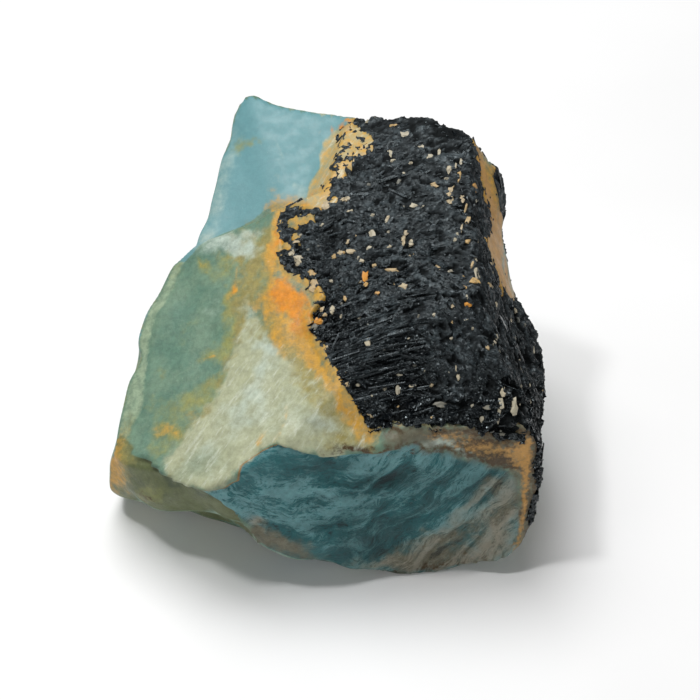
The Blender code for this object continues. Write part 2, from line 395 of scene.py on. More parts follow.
def add_values(piece, name, values):
    """Store one number, or three, for each point of a piece, for its material to read."""
    kind = "FLOAT" if values.ndim == 1 else "FLOAT_VECTOR"
    field = "value" if values.ndim == 1 else "vector"
    layer = piece.data.attributes.new(name, kind, "POINT")
    layer.data.foreach_set(field, values.astype(np.float32).ravel())


def plug(tree, made, inputs):
    """Set a node's inputs, to plain values or to other nodes' outputs."""
    for name, value in inputs.items():
        if isinstance(value, bpy.types.NodeSocket):
            tree.links.new(value, made.inputs[name])
        else:
            made.inputs[name].default_value = value


def node(tree, kind, inputs=None, **settings):
    """A new shader node with its settings and its inputs."""
    made = tree.nodes.new(kind)
    for name, value in settings.items():
        setattr(made, name, value)
    plug(tree, made, inputs or {})
    return made


def value_of(tree, name, field="Fac"):
    """Output of one of the values stored on a mesh."""
    return node(tree, "ShaderNodeAttribute", attribute_name=name).outputs[field]


def math_of(tree, operation, first, second=0.0):
    """Output of one Math node."""
    return node(tree, "ShaderNodeMath", {0: first, 1: second}, operation=operation).outputs[0]


def sum_of(tree, first, *others):
    """Output that adds up several values."""
    for other in others:
        first = math_of(tree, "ADD", first, other)
    return first


def product_of(tree, first, *others):
    """Output that multiplies several values."""
    for other in others:
        first = math_of(tree, "MULTIPLY", first, other)
    return first


def vector_of(tree, operation, inputs, field=0):
    """Output of one Vector Math node."""
    return node(tree, "ShaderNodeVectorMath", inputs, operation=operation).outputs[field]


def fade(tree, value, low, high, start=0.0, end=1.0):
    """Output that goes smoothly from start to end as value goes from low to high."""
    sockets = {"Value": value, 1: low, 2: high, 3: start, 4: end}
    return node(tree, "ShaderNodeMapRange", sockets, interpolation_type="SMOOTHSTEP").outputs[0]


def blend_of(tree, share, under, over, way="MIX"):
    """Colour of a Mix node: over laid on under by a share."""
    sockets = {0: share, 6: under, 7: over}
    return node(tree, "ShaderNodeMix", sockets, data_type="RGBA", blend_type=way).outputs[2]


def noise_of(tree, place, size, detail=3.0, rough=0.55, bend=0.0):
    """Output of a Noise node whose blobs are about one size across, in millimetres."""
    sockets = {"Vector": place, "Scale": 1 / (size * MM), "Detail": detail, "Roughness": rough}
    return node(tree, "ShaderNodeTexNoise", sockets | {"Distortion": bend}).outputs["Fac"]


def ridge_of(tree, value):
    """1 where a noise passes its middle, falling to 0 on both sides."""
    away = math_of(tree, "ABSOLUTE", sum_of(tree, value, -0.5))
    return sum_of(tree, product_of(tree, away, -4.0), 1.0)


def in_picture(angle):
    """Unit vector across the line of sight, for each angle up from the picture's right."""
    turn = np.radians(angle)
    return np.multiply.outer(np.cos(turn), RIGHT) + np.multiply.outer(np.sin(turn), UP)


def stretched(tree, place, way, ratio):
    """Output of places squeezed along one way, so that a noise read there is drawn out."""
    along = vector_of(tree, "DOT_PRODUCT", {0: place, 1: way.tolist()}, "Value")
    part = vector_of(tree, "SCALE", {0: (way * (1 / ratio - 1)).tolist(), "Scale": along})
    return vector_of(tree, "ADD", {0: place, 1: part})


def tint(red, green, blue):
    """Linear colour of a screen colour given from 0 to 255."""
    share = np.array((red, green, blue)) / 255
    linear = np.where(share <= 0.04045, share / 12.92, ((share + 0.055) / 1.055) ** 2.4)
    return (*linear.tolist(), 1.0)


def material_named(name):
    """A new material, its node tree, its Principled shader and the place it is read at."""
    made = bpy.data.materials.new(name)
    made.use_nodes = True
    tree = made.node_tree
    place = node(tree, "ShaderNodeTexCoord").outputs["Object"]
    return made, tree, tree.nodes["Principled BSDF"], place


# Where the beryl changes colour in the photograph. Outlines are closed. Spots are middle
# across, middle down, half length, half width, turn and strength.
BLUE_SEEN = (
    (185, 262), (200, 247), (215, 235), (232, 228), (250, 222), (262, 213), (275, 205), (292, 203),
    (306, 203), (307, 195), (310, 182), (319, 169), (320, 156), (329, 136), (352, 122), (352, 60),
    (200, 60), (160, 262),
)
WALL_SEEN = (
    (306, 205), (307, 195), (310, 182), (319, 169), (320, 156), (329, 136), (346, 126), (362, 122),
    (400, 122), (400, 160), (350, 190), (335, 215),
)
FRONT_SEEN = (
    (146, 464), (158, 471), (176, 480), (185, 485), (205, 489), (225, 487), (240, 478), (243, 463),
    (262, 450), (280, 444), (300, 451), (320, 457), (340, 456), (385, 449), (420, 446), (441, 455),
    (478, 460), (506, 470), (516, 486), (518, 520), (500, 620), (262, 620), (262, 545), (250, 520),
    (232, 506), (205, 492), (170, 480),
)
CREAM_SEEN = (
    (258, 318), (268, 336), (290, 352), (318, 372), (340, 400), (362, 426), (372, 438), (345, 454),
    (325, 455), (300, 449), (280, 443), (262, 449), (243, 460), (238, 476), (225, 485), (205, 487),
    (185, 482), (168, 468), (166, 458), (180, 440), (198, 418), (212, 398), (226, 368), (236, 345),
    (243, 325),
)
RIM_SEEN = (
    (190, 250), (170, 296), (152, 330), (145, 360), (143, 382), (141, 410), (125, 438), (90, 430),
    (90, 330), (160, 235),
)
TOE_SEEN = (
    (125, 438), (135, 453), (158, 471), (176, 480), (205, 491), (235, 508), (258, 540), (150, 560),
    (80, 500), (90, 430),
)
SPOTS_SEEN = {
    # Milky pale patches; the one at 312 across and 424 down is painted light, lifting a part of the
    # cream that faces downward
    "milk_and_painted_light": (
        (219, 185, 62, 10, 75, 0.5), (203, 235, 14, 9, 40, 0.4), (303, 190, 7, 6, 0, 0.6),
        (282, 207, 12, 4, 8, 0.5), (279, 152, 13, 2.5, -58, 0.6), (243, 251, 9, 7, 60, 0.8),
        (226, 246, 14, 6, 20, 0.6), (252, 232, 12, 4, 20, 0.5), (446, 443, 16, 5, -10, 1.0),
        (464, 449, 10, 4, -30, 0.9), (205, 452, 22, 14, 20, 0.45), (240, 412, 26, 20, 30, 0.45),
        (312, 424, 30, 12, 0, 0.5), (215, 308, 9, 20, -20, 0.35), (238, 244, 22, 8, -18, 0.75),
        (222, 242, 12, 8, 30, 0.3), (250, 312, 14, 8, 80, 0.5), (265, 347, 12, 8, 0, 0.7),
        (262, 368, 34, 9, 70, 0.6), (282, 405, 20, 14, 20, 0.3), (222, 470, 12, 8, 0, 0.3),
    ),
    "moss": (
        (203, 268, 8, 5, -60, 0.9), (215, 350, 10, 7, 40, 0.6), (230, 300, 16, 4, 82, 0.9),
        (231, 330, 26, 6, 84, 0.9), (222, 345, 16, 7, 70, 0.7), (194, 402, 22, 10, 30, 0.9),
        (170, 433, 15, 8, 10, 0.9), (160, 450, 14, 5, 40, 0.6), (160, 375, 8, 4, 0, 0.5),
        (207, 357, 9, 5, 0, 0.6), (246, 144, 16, 6, 20, 0.7), (224, 268, 15, 7, 60, 0.7),
        (236, 149, 6, 3, 10, 0.4), (188, 330, 26, 7, 60, 0.3), (158, 408, 16, 12, 0, 0.35),
        (178, 268, 22, 8, 60, 0.35), (150, 494, 9, 8, 0, 0.9), (213, 385, 14, 5, 50, 0.5),
    ),
    "khaki": (
        (257, 262, 20, 8, 88, 1.0), (250, 242, 34, 11, 22, 0.6), (240, 280, 34, 8, 82, 0.7),
        (250, 300, 22, 9, 75, 0.9), (268, 260, 36, 6, 86, 0.9), (275, 330, 26, 6, -75, 0.6),
        (240, 325, 18, 6, 78, 0.6), (296, 356, 36, 9, -56, 0.9), (322, 390, 36, 10, -54, 0.45),
        (345, 440, 26, 7, 0, 0.5), (285, 352, 30, 7, -66, 0.4), (345, 420, 26, 9, -50, 0.35),
        (120, 462, 34, 10, 85, 0.8), (262, 330, 14, 8, 70, 0.4), (176, 466, 10, 5, 30, 0.5),
        (225, 365, 22, 5, 62, 0.6), (200, 415, 24, 5, 45, 0.5), (272, 330, 14, 5, -80, 0.4),
        (318, 398, 26, 9, -52, 0.35), (238, 322, 14, 6, 80, 0.5), (340, 428, 30, 12, -20, 0.45),
    ),
    "ochre": (
        (273, 240, 40, 4.5, 86, 1.0), (291, 305, 30, 14, -70, 0.9), (303, 335, 26, 11, -62, 1.0),
        (319, 292, 16, 9, -60, 0.9), (318, 362, 26, 8, -58, 0.9), (340, 398, 30, 6, -58, 0.8),
        (354, 420, 22, 7, -58, 0.8), (233, 288, 12, 3, 84, 0.8), (168, 433, 13, 6, 10, 0.55),
        (278, 340, 22, 7, -72, 0.6), (203, 266, 7, 3, -60, 0.3), (271, 300, 14, 5, 84, 0.7),
        (282, 330, 16, 6, -70, 0.5), (113, 470, 30, 7, 85, 0.9), (128, 500, 20, 5, -30, 0.5),
        (258, 305, 8, 3, 60, 0.5), (210, 357, 5, 2, 20, 0.6), (266, 436, 12, 3, 60, 0.5),
        (282, 425, 22, 3, 78, 0.35),
    ),
    "orange": (
        (287, 293, 13, 11, 0, 1.0), (296, 312, 15, 9, -62, 0.9), (304, 332, 13, 6, -66, 0.45),
        (284, 308, 9, 6, 0, 0.5), (274, 238, 26, 2, 86, 0.6), (341, 127, 17, 2.5, 13, 0.8),
        (233, 289, 7, 1.8, 82, 0.6), (312, 197, 8, 3, 62, 0.5), (307, 206, 5, 2, 0, 0.4),
    ),
    "rust": (
        (304, 330, 14, 4, -66, 0.35), (402, 447, 28, 4, 4, 0.6), (436, 452, 20, 4, 0, 0.9),
        (494, 456, 20, 6, -12, 1.1), (478, 445, 16, 6, 0, 1.1), (350, 449, 22, 4, 0, 0.6),
        (362, 446, 22, 3, -4, 0.5), (420, 571, 40, 3, 4, 0.6), (466, 560, 34, 6, 18, 0.5),
        (512, 462, 12, 6, -50, 0.7), (148, 497, 6, 4, -30, 0.5),
    ),
    "amber": (
        (522, 452, 14, 7, 70, 1.0), (482, 449, 30, 7, -8, 0.6), (450, 436, 24, 5, 0, 0.45),
        (526, 470, 20, 3.5, 86, 0.9), (524, 497, 20, 2.5, 84, 0.7), (519, 524, 16, 3, 76, 0.7),
        (505, 255, 46, 9, -78, 1.0), (512, 453, 12, 4, -20, 0.5), (484, 175, 40, 3, -74, 1.0),
        (492, 230, 30, 4, -80, 1.0), (500, 262, 20, 4, -66, 1.0), (510, 288, 14, 5, -60, 0.8),
        (512, 545, 10, 4, 60, 0.5),
    ),
    # Painted shade: darker patches where parts of the front and of the cream lie in shade
    "painted_shade": (
        (198, 464, 26, 10, 15, 0.5), (150, 492, 26, 8, -20, 0.35), (304, 331, 14, 7, -62, 0.35),
        (478, 449, 30, 6, -6, 0.3), (480, 482, 24, 8, 35, 0.9), (300, 524, 30, 8, 10, 0.4),
        (395, 480, 34, 10, 10, 0.9), (350, 518, 50, 8, 20, 0.6), (372, 542, 40, 14, 20, 0.9),
        (452, 474, 30, 7, 30, 0.6), (320, 470, 30, 6, 8, 0.6), (420, 510, 40, 7, 28, 0.7),
        (330, 500, 40, 5, 8, 0.5), (205, 495, 20, 3, -20, 0.7), (170, 482, 24, 3, -30, 0.6),
    ),
    "ash": (
        (502, 519, 32, 11, 62, 1.0), (482, 550, 40, 9, 25, 0.7), (430, 562, 50, 9, 5, 1.0),
        (500, 486, 20, 8, 20, 0.6), (280, 545, 40, 9, -20, 0.95), (262, 532, 18, 7, -50, 0.9),
        (445, 436, 26, 4, 2, 0.9), (425, 436, 26, 5, 0, 0.6), (450, 525, 40, 8, 30, 0.4),
        (474, 498, 30, 5, 40, 0.6), (486, 514, 26, 8, 45, 0.5), (440, 541, 30, 9, 20, 0.8),
        (402, 562, 30, 8, 0, 0.9),
    ),
}


def spots_share(spots, patches):
    """Share covered by soft oval spots, each strongest at its middle and fading as a bell."""
    left = np.ones(len(spots))
    for across, down, long, wide, turn, strength in patches:
        angle = np.radians(turn)
        arm = spots - (across, down)
        along = arm[:, 0] * np.cos(angle) - arm[:, 1] * np.sin(angle)
        aside = arm[:, 0] * np.sin(angle) + arm[:, 1] * np.cos(angle)
        left = left * (1 - strength * np.exp(-0.7 * ((along / long) ** 2 + (aside / wide) ** 2)))
    return 1 - left


def beryl_masks(rays, radius, cover):
    """Shares from 0 to 1 of each tone of the beryl, and of its painted shade and painted light.
    The marks are those of the photograph where the camera sees the stone, and drifting clouds
    of the same tones elsewhere."""
    points = placed(rays, radius)
    seen = ramp(facing(rays, radius), 0.0, 0.2)
    spots = seen_at(points)
    wander = np.stack((cloud(points, 1.8, 31), cloud(points, 1.8, 32)), axis=1)
    drift = np.stack((cloud(points, 0.7, 33), cloud(points, 0.7, 34)), axis=1)
    loose = spots + 6.0 * wander + 4.0 * drift
    tight = spots + 1.0 * wander + 0.8 * drift
    slow = cloud(points, 9.0, 35) + 0.5 * cloud(points, 4.0, 36)
    other = cloud(points, 7.0, 37) + 0.5 * cloud(points, 3.0, 38)
    third = cloud(points, 11.0, 39) + 0.5 * cloud(points, 4.5, 40)
    soft = ramp(spots[:, 0], 370, 430) * (1 - ramp(spots[:, 1], 490, 510))
    blurred = spots + (1 + 4 * soft)[:, None] * (wander + 0.8 * drift)
    front = inside_outline(blurred, FRONT_SEEN) / PIXELS_PER_MM
    below = ramp(spots[:, 1], 418, 432) * ramp(spots[:, 0], 372, 392)
    stained = 1 - ramp(-cover + 0.6 * other, 0.2, 1.5)
    wall = ramp(inside_outline(tight, WALL_SEEN), -1.5, 2.0)
    shown = {
        name: spots_share(tight if name == "amber" else loose, patches)
        for name, patches in SPOTS_SEEN.items()
    }
    shown["blue"] = ramp(inside_outline(tight, BLUE_SEEN), -2.5, 2.5)
    shown["deep"] = np.clip(0.5 + 0.5 * front / (0.28 + 0.9 * soft), 0, 1)
    shown["cream"] = np.maximum(ramp(inside_outline(loose, CREAM_SEEN), -8, 7), 0.9 * wall)
    shown["khaki"] *= 1 - ramp(front, -0.25, 0.3)
    shown["ochre"] = np.maximum(shown["ochre"], 0.55 * wall)
    shown["ochre"] = np.maximum(shown["ochre"], 0.7 * stained * (1 - below))
    shown["rust"] = np.maximum(shown["rust"], 0.6 * below * stained)
    shown["ash"] = np.maximum(shown["ash"], 0.9 * below * (1 - shown["deep"]))
    shown["rim"] = 0.8 * ramp(inside_outline(tight, RIM_SEEN), -3, 3)
    shown["toe"] = ramp(inside_outline(tight, TOE_SEEN), -1.5, 1.5)
    low = ramp(-rays[:, 2], 0.2, 0.7)
    hidden = {
        "blue": 0.8 * ramp(slow, -0.3, 0.9) * (1 - low),
        "deep": 0.7 * ramp(slow, -0.3, 0.3) * low,
        "cream": 0.75 * ramp(other, 0.1, 1.0),
        "milk_and_painted_light": 0.6 * ramp(third, 0.1, 0.9),
        "moss": 0.7 * ramp(-other, 0.1, 1.0),
        "khaki": 0.6 * ramp(-third, 0.1, 1.0),
        "ochre": np.maximum(0.5 * ramp(other - third, 0.7, 1.6), 0.7 * stained),
        "orange": 0.3 * ramp(other - third, 1.3, 1.9),
        "rust": ramp(third - slow, 0.9, 1.4) * low,
        "amber": 0.5 * stained * ramp(slow, 0.0, 0.5),
        "ash": 0.8 * ramp(-slow, 0.1, 0.9) * low,
        # Painted shade in drifting darker patches where the camera does not see the stone
        "painted_shade": 0.3 * ramp(third, 0.2, 0.9),
    }
    masks = {name: hidden.get(name, 0) * (1 - seen) + shown[name] * seen for name in shown}
    masks["ledge"] = np.where(seen * (1 - soft) > 0.5, front, -9.0)
    masks["line"] = seen * ramp(spots[:, 0], 165, 185) * (1 - ramp(spots[:, 0], 285, 300))
    masks["line"] *= ramp(spots[:, 1], 436, 444) * (1 - ramp(spots[:, 1], 484, 492))
    return masks


def flow_lines(spots):
    """How far across and along the front's fibres each picture place lies, in millimetres. The
    fibres sink a little to the right at the left end and rise steeply at the right end, and
    the way across them is the place's height plus the run of that slope."""
    part = np.clip((spots[:, 0] - FLOW_START) / FLOW_SPAN, 0, 1)
    past = np.maximum(spots[:, 0] - FLOW_START - FLOW_SPAN, 0)
    turned = FLOW_SPAN * (part**3 - part**4 / 2) + past
    run = FLOW_LEFT * (spots[:, 0] - FLOW_START) + (FLOW_RIGHT - FLOW_LEFT) * turned
    return (spots[:, 1] + run) / PIXELS_PER_MM, spots[:, 0] / PIXELS_PER_MM


def fibres(points, across, along):
    """Fibrous ripples from -1 to 1 along the flow lines, in four sizes."""
    ripples = np.zeros(len(points))
    for index, (spacing, length, height) in enumerate(FIBRE_SIZES):
        strand = np.stack((across / spacing, along / length, np.full(len(points), index)), axis=1)
        ripples += height * (1 - 2.2 * np.abs(cloud(strand, 1.0, 50)))
    return ripples


def beryl_surface(rays):
    """Radius of the beryl, its masks and its ripples: the block, let down under the crust, with
    gentle unevenness, ripples on its front, sugary grain on its cream and a raised cream ledge."""
    radius = stone_radius(rays)
    cover = crust_cover(rays, radius)
    masks = beryl_masks(rays, radius, cover)
    points = HEART + rays * radius[:, None]
    spots = seen_at(placed(rays, radius))
    base = ramp(-rays[:, 2], 0.80, 0.90)
    uneven = 0.35 * cloud(points, 6.5, SEED) + 0.18 * cloud(points, 2.8, SEED + 1)
    swirl = np.linalg.norm((points - SWIRL_CENTRE)[:, (0, 2)], axis=1)
    swirl = swirl + 1.3 * cloud(points, 5.0, SEED + 2)
    front = ramp(rays @ direction(-86, -8), 0.72, 0.86)
    wave = front * SWIRL_HEIGHT * np.cos(2 * np.pi * swirl / SWIRL_SPACING)
    calm = spots_share(spots, CALM_SPOTS)
    across, along = flow_lines(spots)
    across = across + 0.9 * cloud(points, 4.0, SEED + 2) + 0.4 * cloud(points, 1.4, SEED + 9)
    along = along + 0.6 * cloud(points, 2.0, SEED + 8)
    strands = fibres(points, across, along) * masks["deep"] * (1 - 0.75 * calm)
    sugar = (masks["cream"] + 0.3 * (1 - masks["blue"])) * (1 - masks["deep"])
    grain = 0.012 * cloud(points, 0.9, 61) + 0.006 * cloud(points, 0.45, 62)
    ledge = ramp(-masks["ledge"], -0.12, 0.15) * ramp(masks["ledge"], -3.5, -0.6)
    ledge = LEDGE_HEIGHT * ledge * (1 - masks["toe"])
    drop = RIM_DROP * masks["rim"] + TOE_DROP * masks["toe"] * ramp(masks["ledge"], -2.0, -0.1)
    relief = uneven + wave + STRAND_HEIGHT * strands + sugar * grain + ledge - drop
    hidden = ramp(cover, 0.15, 1.3)
    level = ramp(cover, -1.2, -0.1)
    masks["crest"] = strands
    masks["flow"] = np.stack((across, 0.3 * along, points[:, 1]), axis=1) * MM
    masks["still"] = calm
    return radius + relief * (1 - base) * (1 - level) - CRUST_DEPTH * hidden, masks


# From the bottom of the beryl's colour to its top: mask, screen colour, size of the break-up
# in millimetres, how far it breaks up, where the share starts and where it is full
BERYL_TONES = (
    ("rim", (144, 162, 134), 1.6, 0.8, 0.1, 1.1),
    ("toe", (94, 102, 66), 1.8, 0.4, 0.1, 0.9),
    ("blue", (98, 145, 150), 2.0, 0.2, 0.25, 0.75),
    ("deep", (24, 94, 98), 0.6, 0.3, 0.3, 0.7),
    ("ash", (104, 101, 82), 1.2, 0.6, 0.1, 1.0),
    ("moss", (138, 140, 80), 1.2, 0.6, 0.1, 1.1),
    ("cream", (163, 167, 136), 1.4, 0.6, 0.1, 0.9),
    ("khaki", (142, 132, 74), 1.2, 0.7, 0.1, 1.0),
    ("milk_and_painted_light", (172, 186, 174), 1.6, 0.5, 0.1, 1.1),
    ("rust", (74, 54, 22), 0.6, 1.1, 0.15, 0.9),
    ("ochre", (188, 142, 48), 0.8, 0.6, 0.1, 1.0),
    ("amber", (188, 142, 74), 0.5, 0.9, 0.2, 0.9),
    ("orange", (206, 128, 0), 0.6, 0.5, 0.15, 1.0),
)
BERYL_GROUND = ((88, 122, 104), (106, 134, 112))
# Painted highlights on the fibres' crests and painted shade in the hollows between them, in
# the clear front and where it is ashy
CREST_HIGHLIGHT_TONES = ((112, 160, 163), (150, 146, 130))
HOLLOW_SHADE_TONES = ((0, 46, 52), (48, 48, 38))
# Colour that the painted shade patches multiply the beryl's colour by
PAINTED_SHADE_TONE = (0.42, 0.54, 0.54, 1)
FLECK_SIZE = 1.7
FLECK_SHARE = 0.06
LEAF_ANGLE = 58


def beryl_material():
    """Cloudy blue-green beryl: tones laid over one another, each a little broken up by noise,
    then painted highlights on the fibres' crests and painted shade in their hollows, patches
    of painted shade, pale flecks, dark specks, waxy gloss."""
    made, tree, shader, place = material_named("beryl")
    cloudy = fade(tree, noise_of(tree, place, 3.5, 4.0, 0.6), 0.35, 0.65)
    colour = blend_of(tree, cloudy, *(tint(*screen) for screen in BERYL_GROUND))
    for name, screen, size, broken, low, high in BERYL_TONES:
        mask = value_of(tree, name)
        breaks = sum_of(tree, noise_of(tree, place, size, 4.0, 0.6), -0.5)
        share = fade(tree, sum_of(tree, mask, product_of(tree, breaks, broken * 2)), low, high)
        share = product_of(tree, share, fade(tree, mask, 0.02, 0.3))
        colour = blend_of(tree, share, colour, tint(*screen))
    flow = value_of(tree, "flow", "Vector")
    strand = sum_of(
        tree,
        product_of(tree, ridge_of(tree, noise_of(tree, flow, 0.9, 4.0, 0.65, 0.7)), 0.5),
        product_of(tree, ridge_of(tree, noise_of(tree, flow, 0.26, 4.0, 0.7, 0.5)), 0.6),
        product_of(tree, value_of(tree, "crest"), 0.45),
        fade(tree, noise_of(tree, flow, 1.7, 4.0, 0.6, 0.5), 0.3, 0.7, -0.32, 0.16),
        product_of(tree, value_of(tree, "painted_shade"), -0.25),
    )
    calm = fade(tree, value_of(tree, "still"), 0.0, 1.0, 1.0, 0.35)
    deep = value_of(tree, "deep")
    fibrous = product_of(tree, fade(tree, deep, 0.3, 0.8), calm)
    ashy = fade(tree, value_of(tree, "ash"), 0.1, 0.9)
    # Painted highlights lighten the fibres' crests and painted shade darkens their hollows
    crest = blend_of(tree, ashy, *(tint(*screen) for screen in CREST_HIGHLIGHT_TONES))
    crest_highlight = product_of(tree, fade(tree, strand, 0.66, 1.08, 0.0, 0.75), fibrous)
    colour = blend_of(tree, crest_highlight, colour, crest)
    hollow = blend_of(tree, ashy, *(tint(*screen) for screen in HOLLOW_SHADE_TONES))
    hollow_shade = product_of(tree, fade(tree, strand, 0.62, 0.16, 0.0, 0.95), fibrous)
    colour = blend_of(tree, hollow_shade, colour, hollow)
    # Painted shade: darker patches multiply the colour down, and above they take some painted
    # highlight off the crests
    painted_shade = fade(tree, value_of(tree, "painted_shade"), 0.0, 0.9)
    colour = blend_of(tree, painted_shade, colour, PAINTED_SHADE_TONE, "MULTIPLY")
    edge = fade(tree, math_of(tree, "ABSOLUTE", value_of(tree, "ledge")), 0.14, 0.03)
    edge = product_of(tree, edge, value_of(tree, "line"), 0.8)
    colour = blend_of(tree, edge, colour, tint(150, 108, 44))
    smooth = fade(tree, value_of(tree, "blue"), 0.2, 0.8, 1.0, 0.35)
    mottle = fade(tree, noise_of(tree, place, 0.8, 6.0, 0.75), 0.28, 0.72, 0.80, 1.17)
    colour = blend_of(tree, smooth, colour, blend_of(tree, 1.0, colour, mottle, "MULTIPLY"))
    cream = value_of(tree, "cream")
    leaf = noise_of(tree, stretched(tree, place, in_picture(LEAF_ANGLE), 5.0), 0.7, 6.0, 0.75)
    leaf = product_of(tree, fade(tree, leaf, 0.50, 0.72, 0.0, 0.6), fade(tree, cream, 0.2, 0.7))
    colour = blend_of(tree, leaf, colour, tint(206, 212, 194))
    speck = fade(tree, noise_of(tree, place, 0.22, 4.0, 0.8), 0.68, 0.75, 0.0, 0.55)
    colour = blend_of(tree, speck, colour, tint(214, 218, 204))
    rub = fade(tree, noise_of(tree, place, 0.5, 6.0, 0.8), 0.60, 0.72, 0.0, 0.25)
    rub = product_of(tree, rub, fade(tree, deep, 0.0, 0.5, 1.0, 0.0), smooth)
    colour = blend_of(tree, rub, colour, tint(196, 204, 186))
    sockets = {"Vector": place, "Scale": 1 / (FLECK_SIZE * MM)}
    cells = node(tree, "ShaderNodeTexVoronoi", sockets).outputs
    chance = node(tree, "ShaderNodeSeparateColor", {0: cells["Color"]}).outputs[0]
    chosen = math_of(tree, "LESS_THAN", chance, FLECK_SHARE)
    fleck = product_of(tree, chosen, fade(tree, cells["Distance"], 0.0, 0.075, 1.0, 0.0), 0.8)
    colour = blend_of(tree, fleck, colour, tint(42, 46, 32))
    fine = noise_of(tree, place, 0.6, 6.0, 0.7)
    height = blend_of(tree, fibrous, fine, sum_of(tree, fine, strand))
    strength = product_of(tree, fade(tree, cream, 0.2, 0.8, 0.6, 0.3), smooth)
    sockets = {"Height": height, "Strength": strength, "Distance": 0.14 * MM}
    plug(tree, shader, {
        "Base Color": colour,
        "Roughness": fade(tree, noise_of(tree, place, 1.5, 4.0), 0.35, 0.65, 0.40, 0.58),
        "Normal": node(tree, "ShaderNodeBump", sockets).outputs[0],
        "IOR": 1.57,
        "Specular IOR Level": 0.35,
        "Subsurface Weight": 0.15,
        "Subsurface Radius": (1.0, 1.0, 0.9),
        "Subsurface Scale": 0.8 * MM,
    })
    return made


beryl_rays, beryl_quads = sphere_rays(GRID_SIDE, GRID_PULL, GRID_TOWARDS)
beryl_radii, beryl_values = beryl_surface(beryl_rays)
beryl = mesh_piece("beryl", placed(beryl_rays, beryl_radii), beryl_quads)
for value_name, value in beryl_values.items():
    add_values(beryl, value_name, value)
beryl.data.materials.append(beryl_material())
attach(beryl, "root")
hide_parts("aquamarine")

# Black tourmaline crust
# Schorl grown over the beryl's upper right side as a granular, splintery black mass. It is
# bedded in the beryl, so its skin dives under the beryl's surface along a jagged edge.
CRUST_STEP = 0.0067
CRUST_SINK = 2.0
CRUST_MARGIN = 1.2
MAP_HALF = 1.52
MAP_END = 1.8
LUMP_SIZE = 3.1
LUMP_HEIGHT = 0.7
BLADE_PLACE = (-72, 38)
BLADE_SPREAD = 17
UNDERSIDE = 12.0
# Ways in the picture: of the grain, of the ridges and their slots, of the prisms and slits, how
# far the prisms turn down the flank, and of the slits there
GRAIN_ANGLE = 8
RIDGE_ANGLE = 13
GROWTH_ANGLE = 12
FLANK_TURN = 66
FLANK_ANGLE = -58
# Height, size and seed of each layer of facets
GRAIN_CHIPS = ((0.34, 1.25, 81), (0.24, 0.62, 82), (0.16, 0.34, 83))
RIDGE_CHIPS = ((0.42, 0.80, 91), (0.26, 0.40, 92))
PIT_DEPTH = 0.55
HOLLOW_DEPTH = 1.0
SLOT_DEPTH = 0.55
MATT_ENOUGH = 0.8
SCHORL_BLACK = (0.002, 0.003, 0.004, 1)
SCHORL_FILM = (0.036, 0.046, 0.051, 1)
# Pale colour of the painted glints on the crust
SCHORL_GLINT = (0.42, 0.46, 0.48, 1)
FACE_SIZE = 0.30
# Places where the crust breaks up into single specks, given like the beryl's spots
SCATTER_SPOTS = (
    (353, 146, 26, 22, 0, 1.0), (336, 180, 18, 14, 0, 0.8), (302, 232, 26, 32, 0, 0.55),
    (312, 280, 20, 14, -35, 0.8), (312, 312, 8, 20, 0, 0.5), (430, 428, 70, 5, 0, 0.6),
    (480, 200, 8, 50, 0, 0.5),
)


def from_chart(places):
    """Rays of an equal-area map about the crust's centre, whose lengths are twice the sine of
    half the angle."""
    centre, east, north = crust_axes()
    length = np.linalg.norm(places, axis=1)
    level = 1 - length**2 / 2
    spread = np.sqrt(np.maximum(1 - length**2 / 4, 0))
    aside = places[:, :1] * east + places[:, 1:] * north
    return level[:, None] * centre + spread[:, None] * aside


def drawn_out(points, along, ratio):
    """Points squeezed along one direction, so that a pattern read there is stretched by ratio."""
    return points - (1 - 1 / ratio) * (points @ along)[:, None] * along


def lattice_values(cell, seed):
    """Three fixed pseudo-random numbers from 0 to 1 for each whole-number cell."""
    return np.stack([lattice_value(cell, seed + step) for step in range(3)], axis=1)


def nearest_cell(place, seed):
    """Squared distance to the nearest grain of a jittered lattice, and that grain's cell."""
    cell = np.floor(place).astype(np.int64)
    best = np.full(len(place), 9.0)
    owner = cell.copy()
    for corner in itertools.product((-1, 0, 1), repeat=3):
        near = cell + corner
        gap = np.sum((near + lattice_values(near, seed) - place) ** 2, axis=1)
        closer = gap < best
        best = np.where(closer, gap, best)
        owner = np.where(closer[:, None], near, owner)
    return best, owner


def chips(points, size, seed):
    """Broken facets, about -1 to 1: each cell of a jittered lattice is one tilted plane."""
    place = points / size
    _, owner = nearest_cell(place, seed)
    grain = owner + lattice_values(owner, seed)
    tilt = lattice_values(owner, seed + 5) - 0.5
    level = lattice_value(owner, seed + 9) - 0.5
    return level + 2.4 * np.sum(tilt * (place - grain), axis=1)


def chips_of(points, layers):
    """Facets of several layers, each given as its height, size and seed."""
    return sum(height * chips(points, size, seed) for height, size, seed in layers)


def flank_share(rays):
    """How far the crust's grain is combed down its right shoulder, from 0 to 1."""
    spots = seen_at(placed(rays, stone_radius(rays)))
    blades = bump(rays, *BLADE_PLACE, BLADE_SPREAD * 0.8)
    above = ramp(-spots[:, 1], -405, -365)
    return ramp(spots[:, 0] + 0.25 * (spots[:, 1] - 250), 425, 470) * (1 - blades) * above


def limb_share(rays):
    """How near the crust lies to the stone's right side, where it is smoother, from 0 to 1."""
    return ramp(rays @ direction(-10, 5), 0.72, 0.92)


def broken_share(points):
    """How rough the crust is, from 0 on its smooth matt top to 1 on its broken lower parts."""
    return ramp(0.7 * cloud(points, 4.5, 77) + (31 - points[:, 2]) / 8, 0, 1)


def matt_share(points):
    """How dull the crust is: most on its top, half on its right shoulder, least low down."""
    rays = unit(points + (0, 0, BASE_CUT) - HEART)
    return np.maximum(1 - broken_share(points), 0.75 * flank_share(rays))


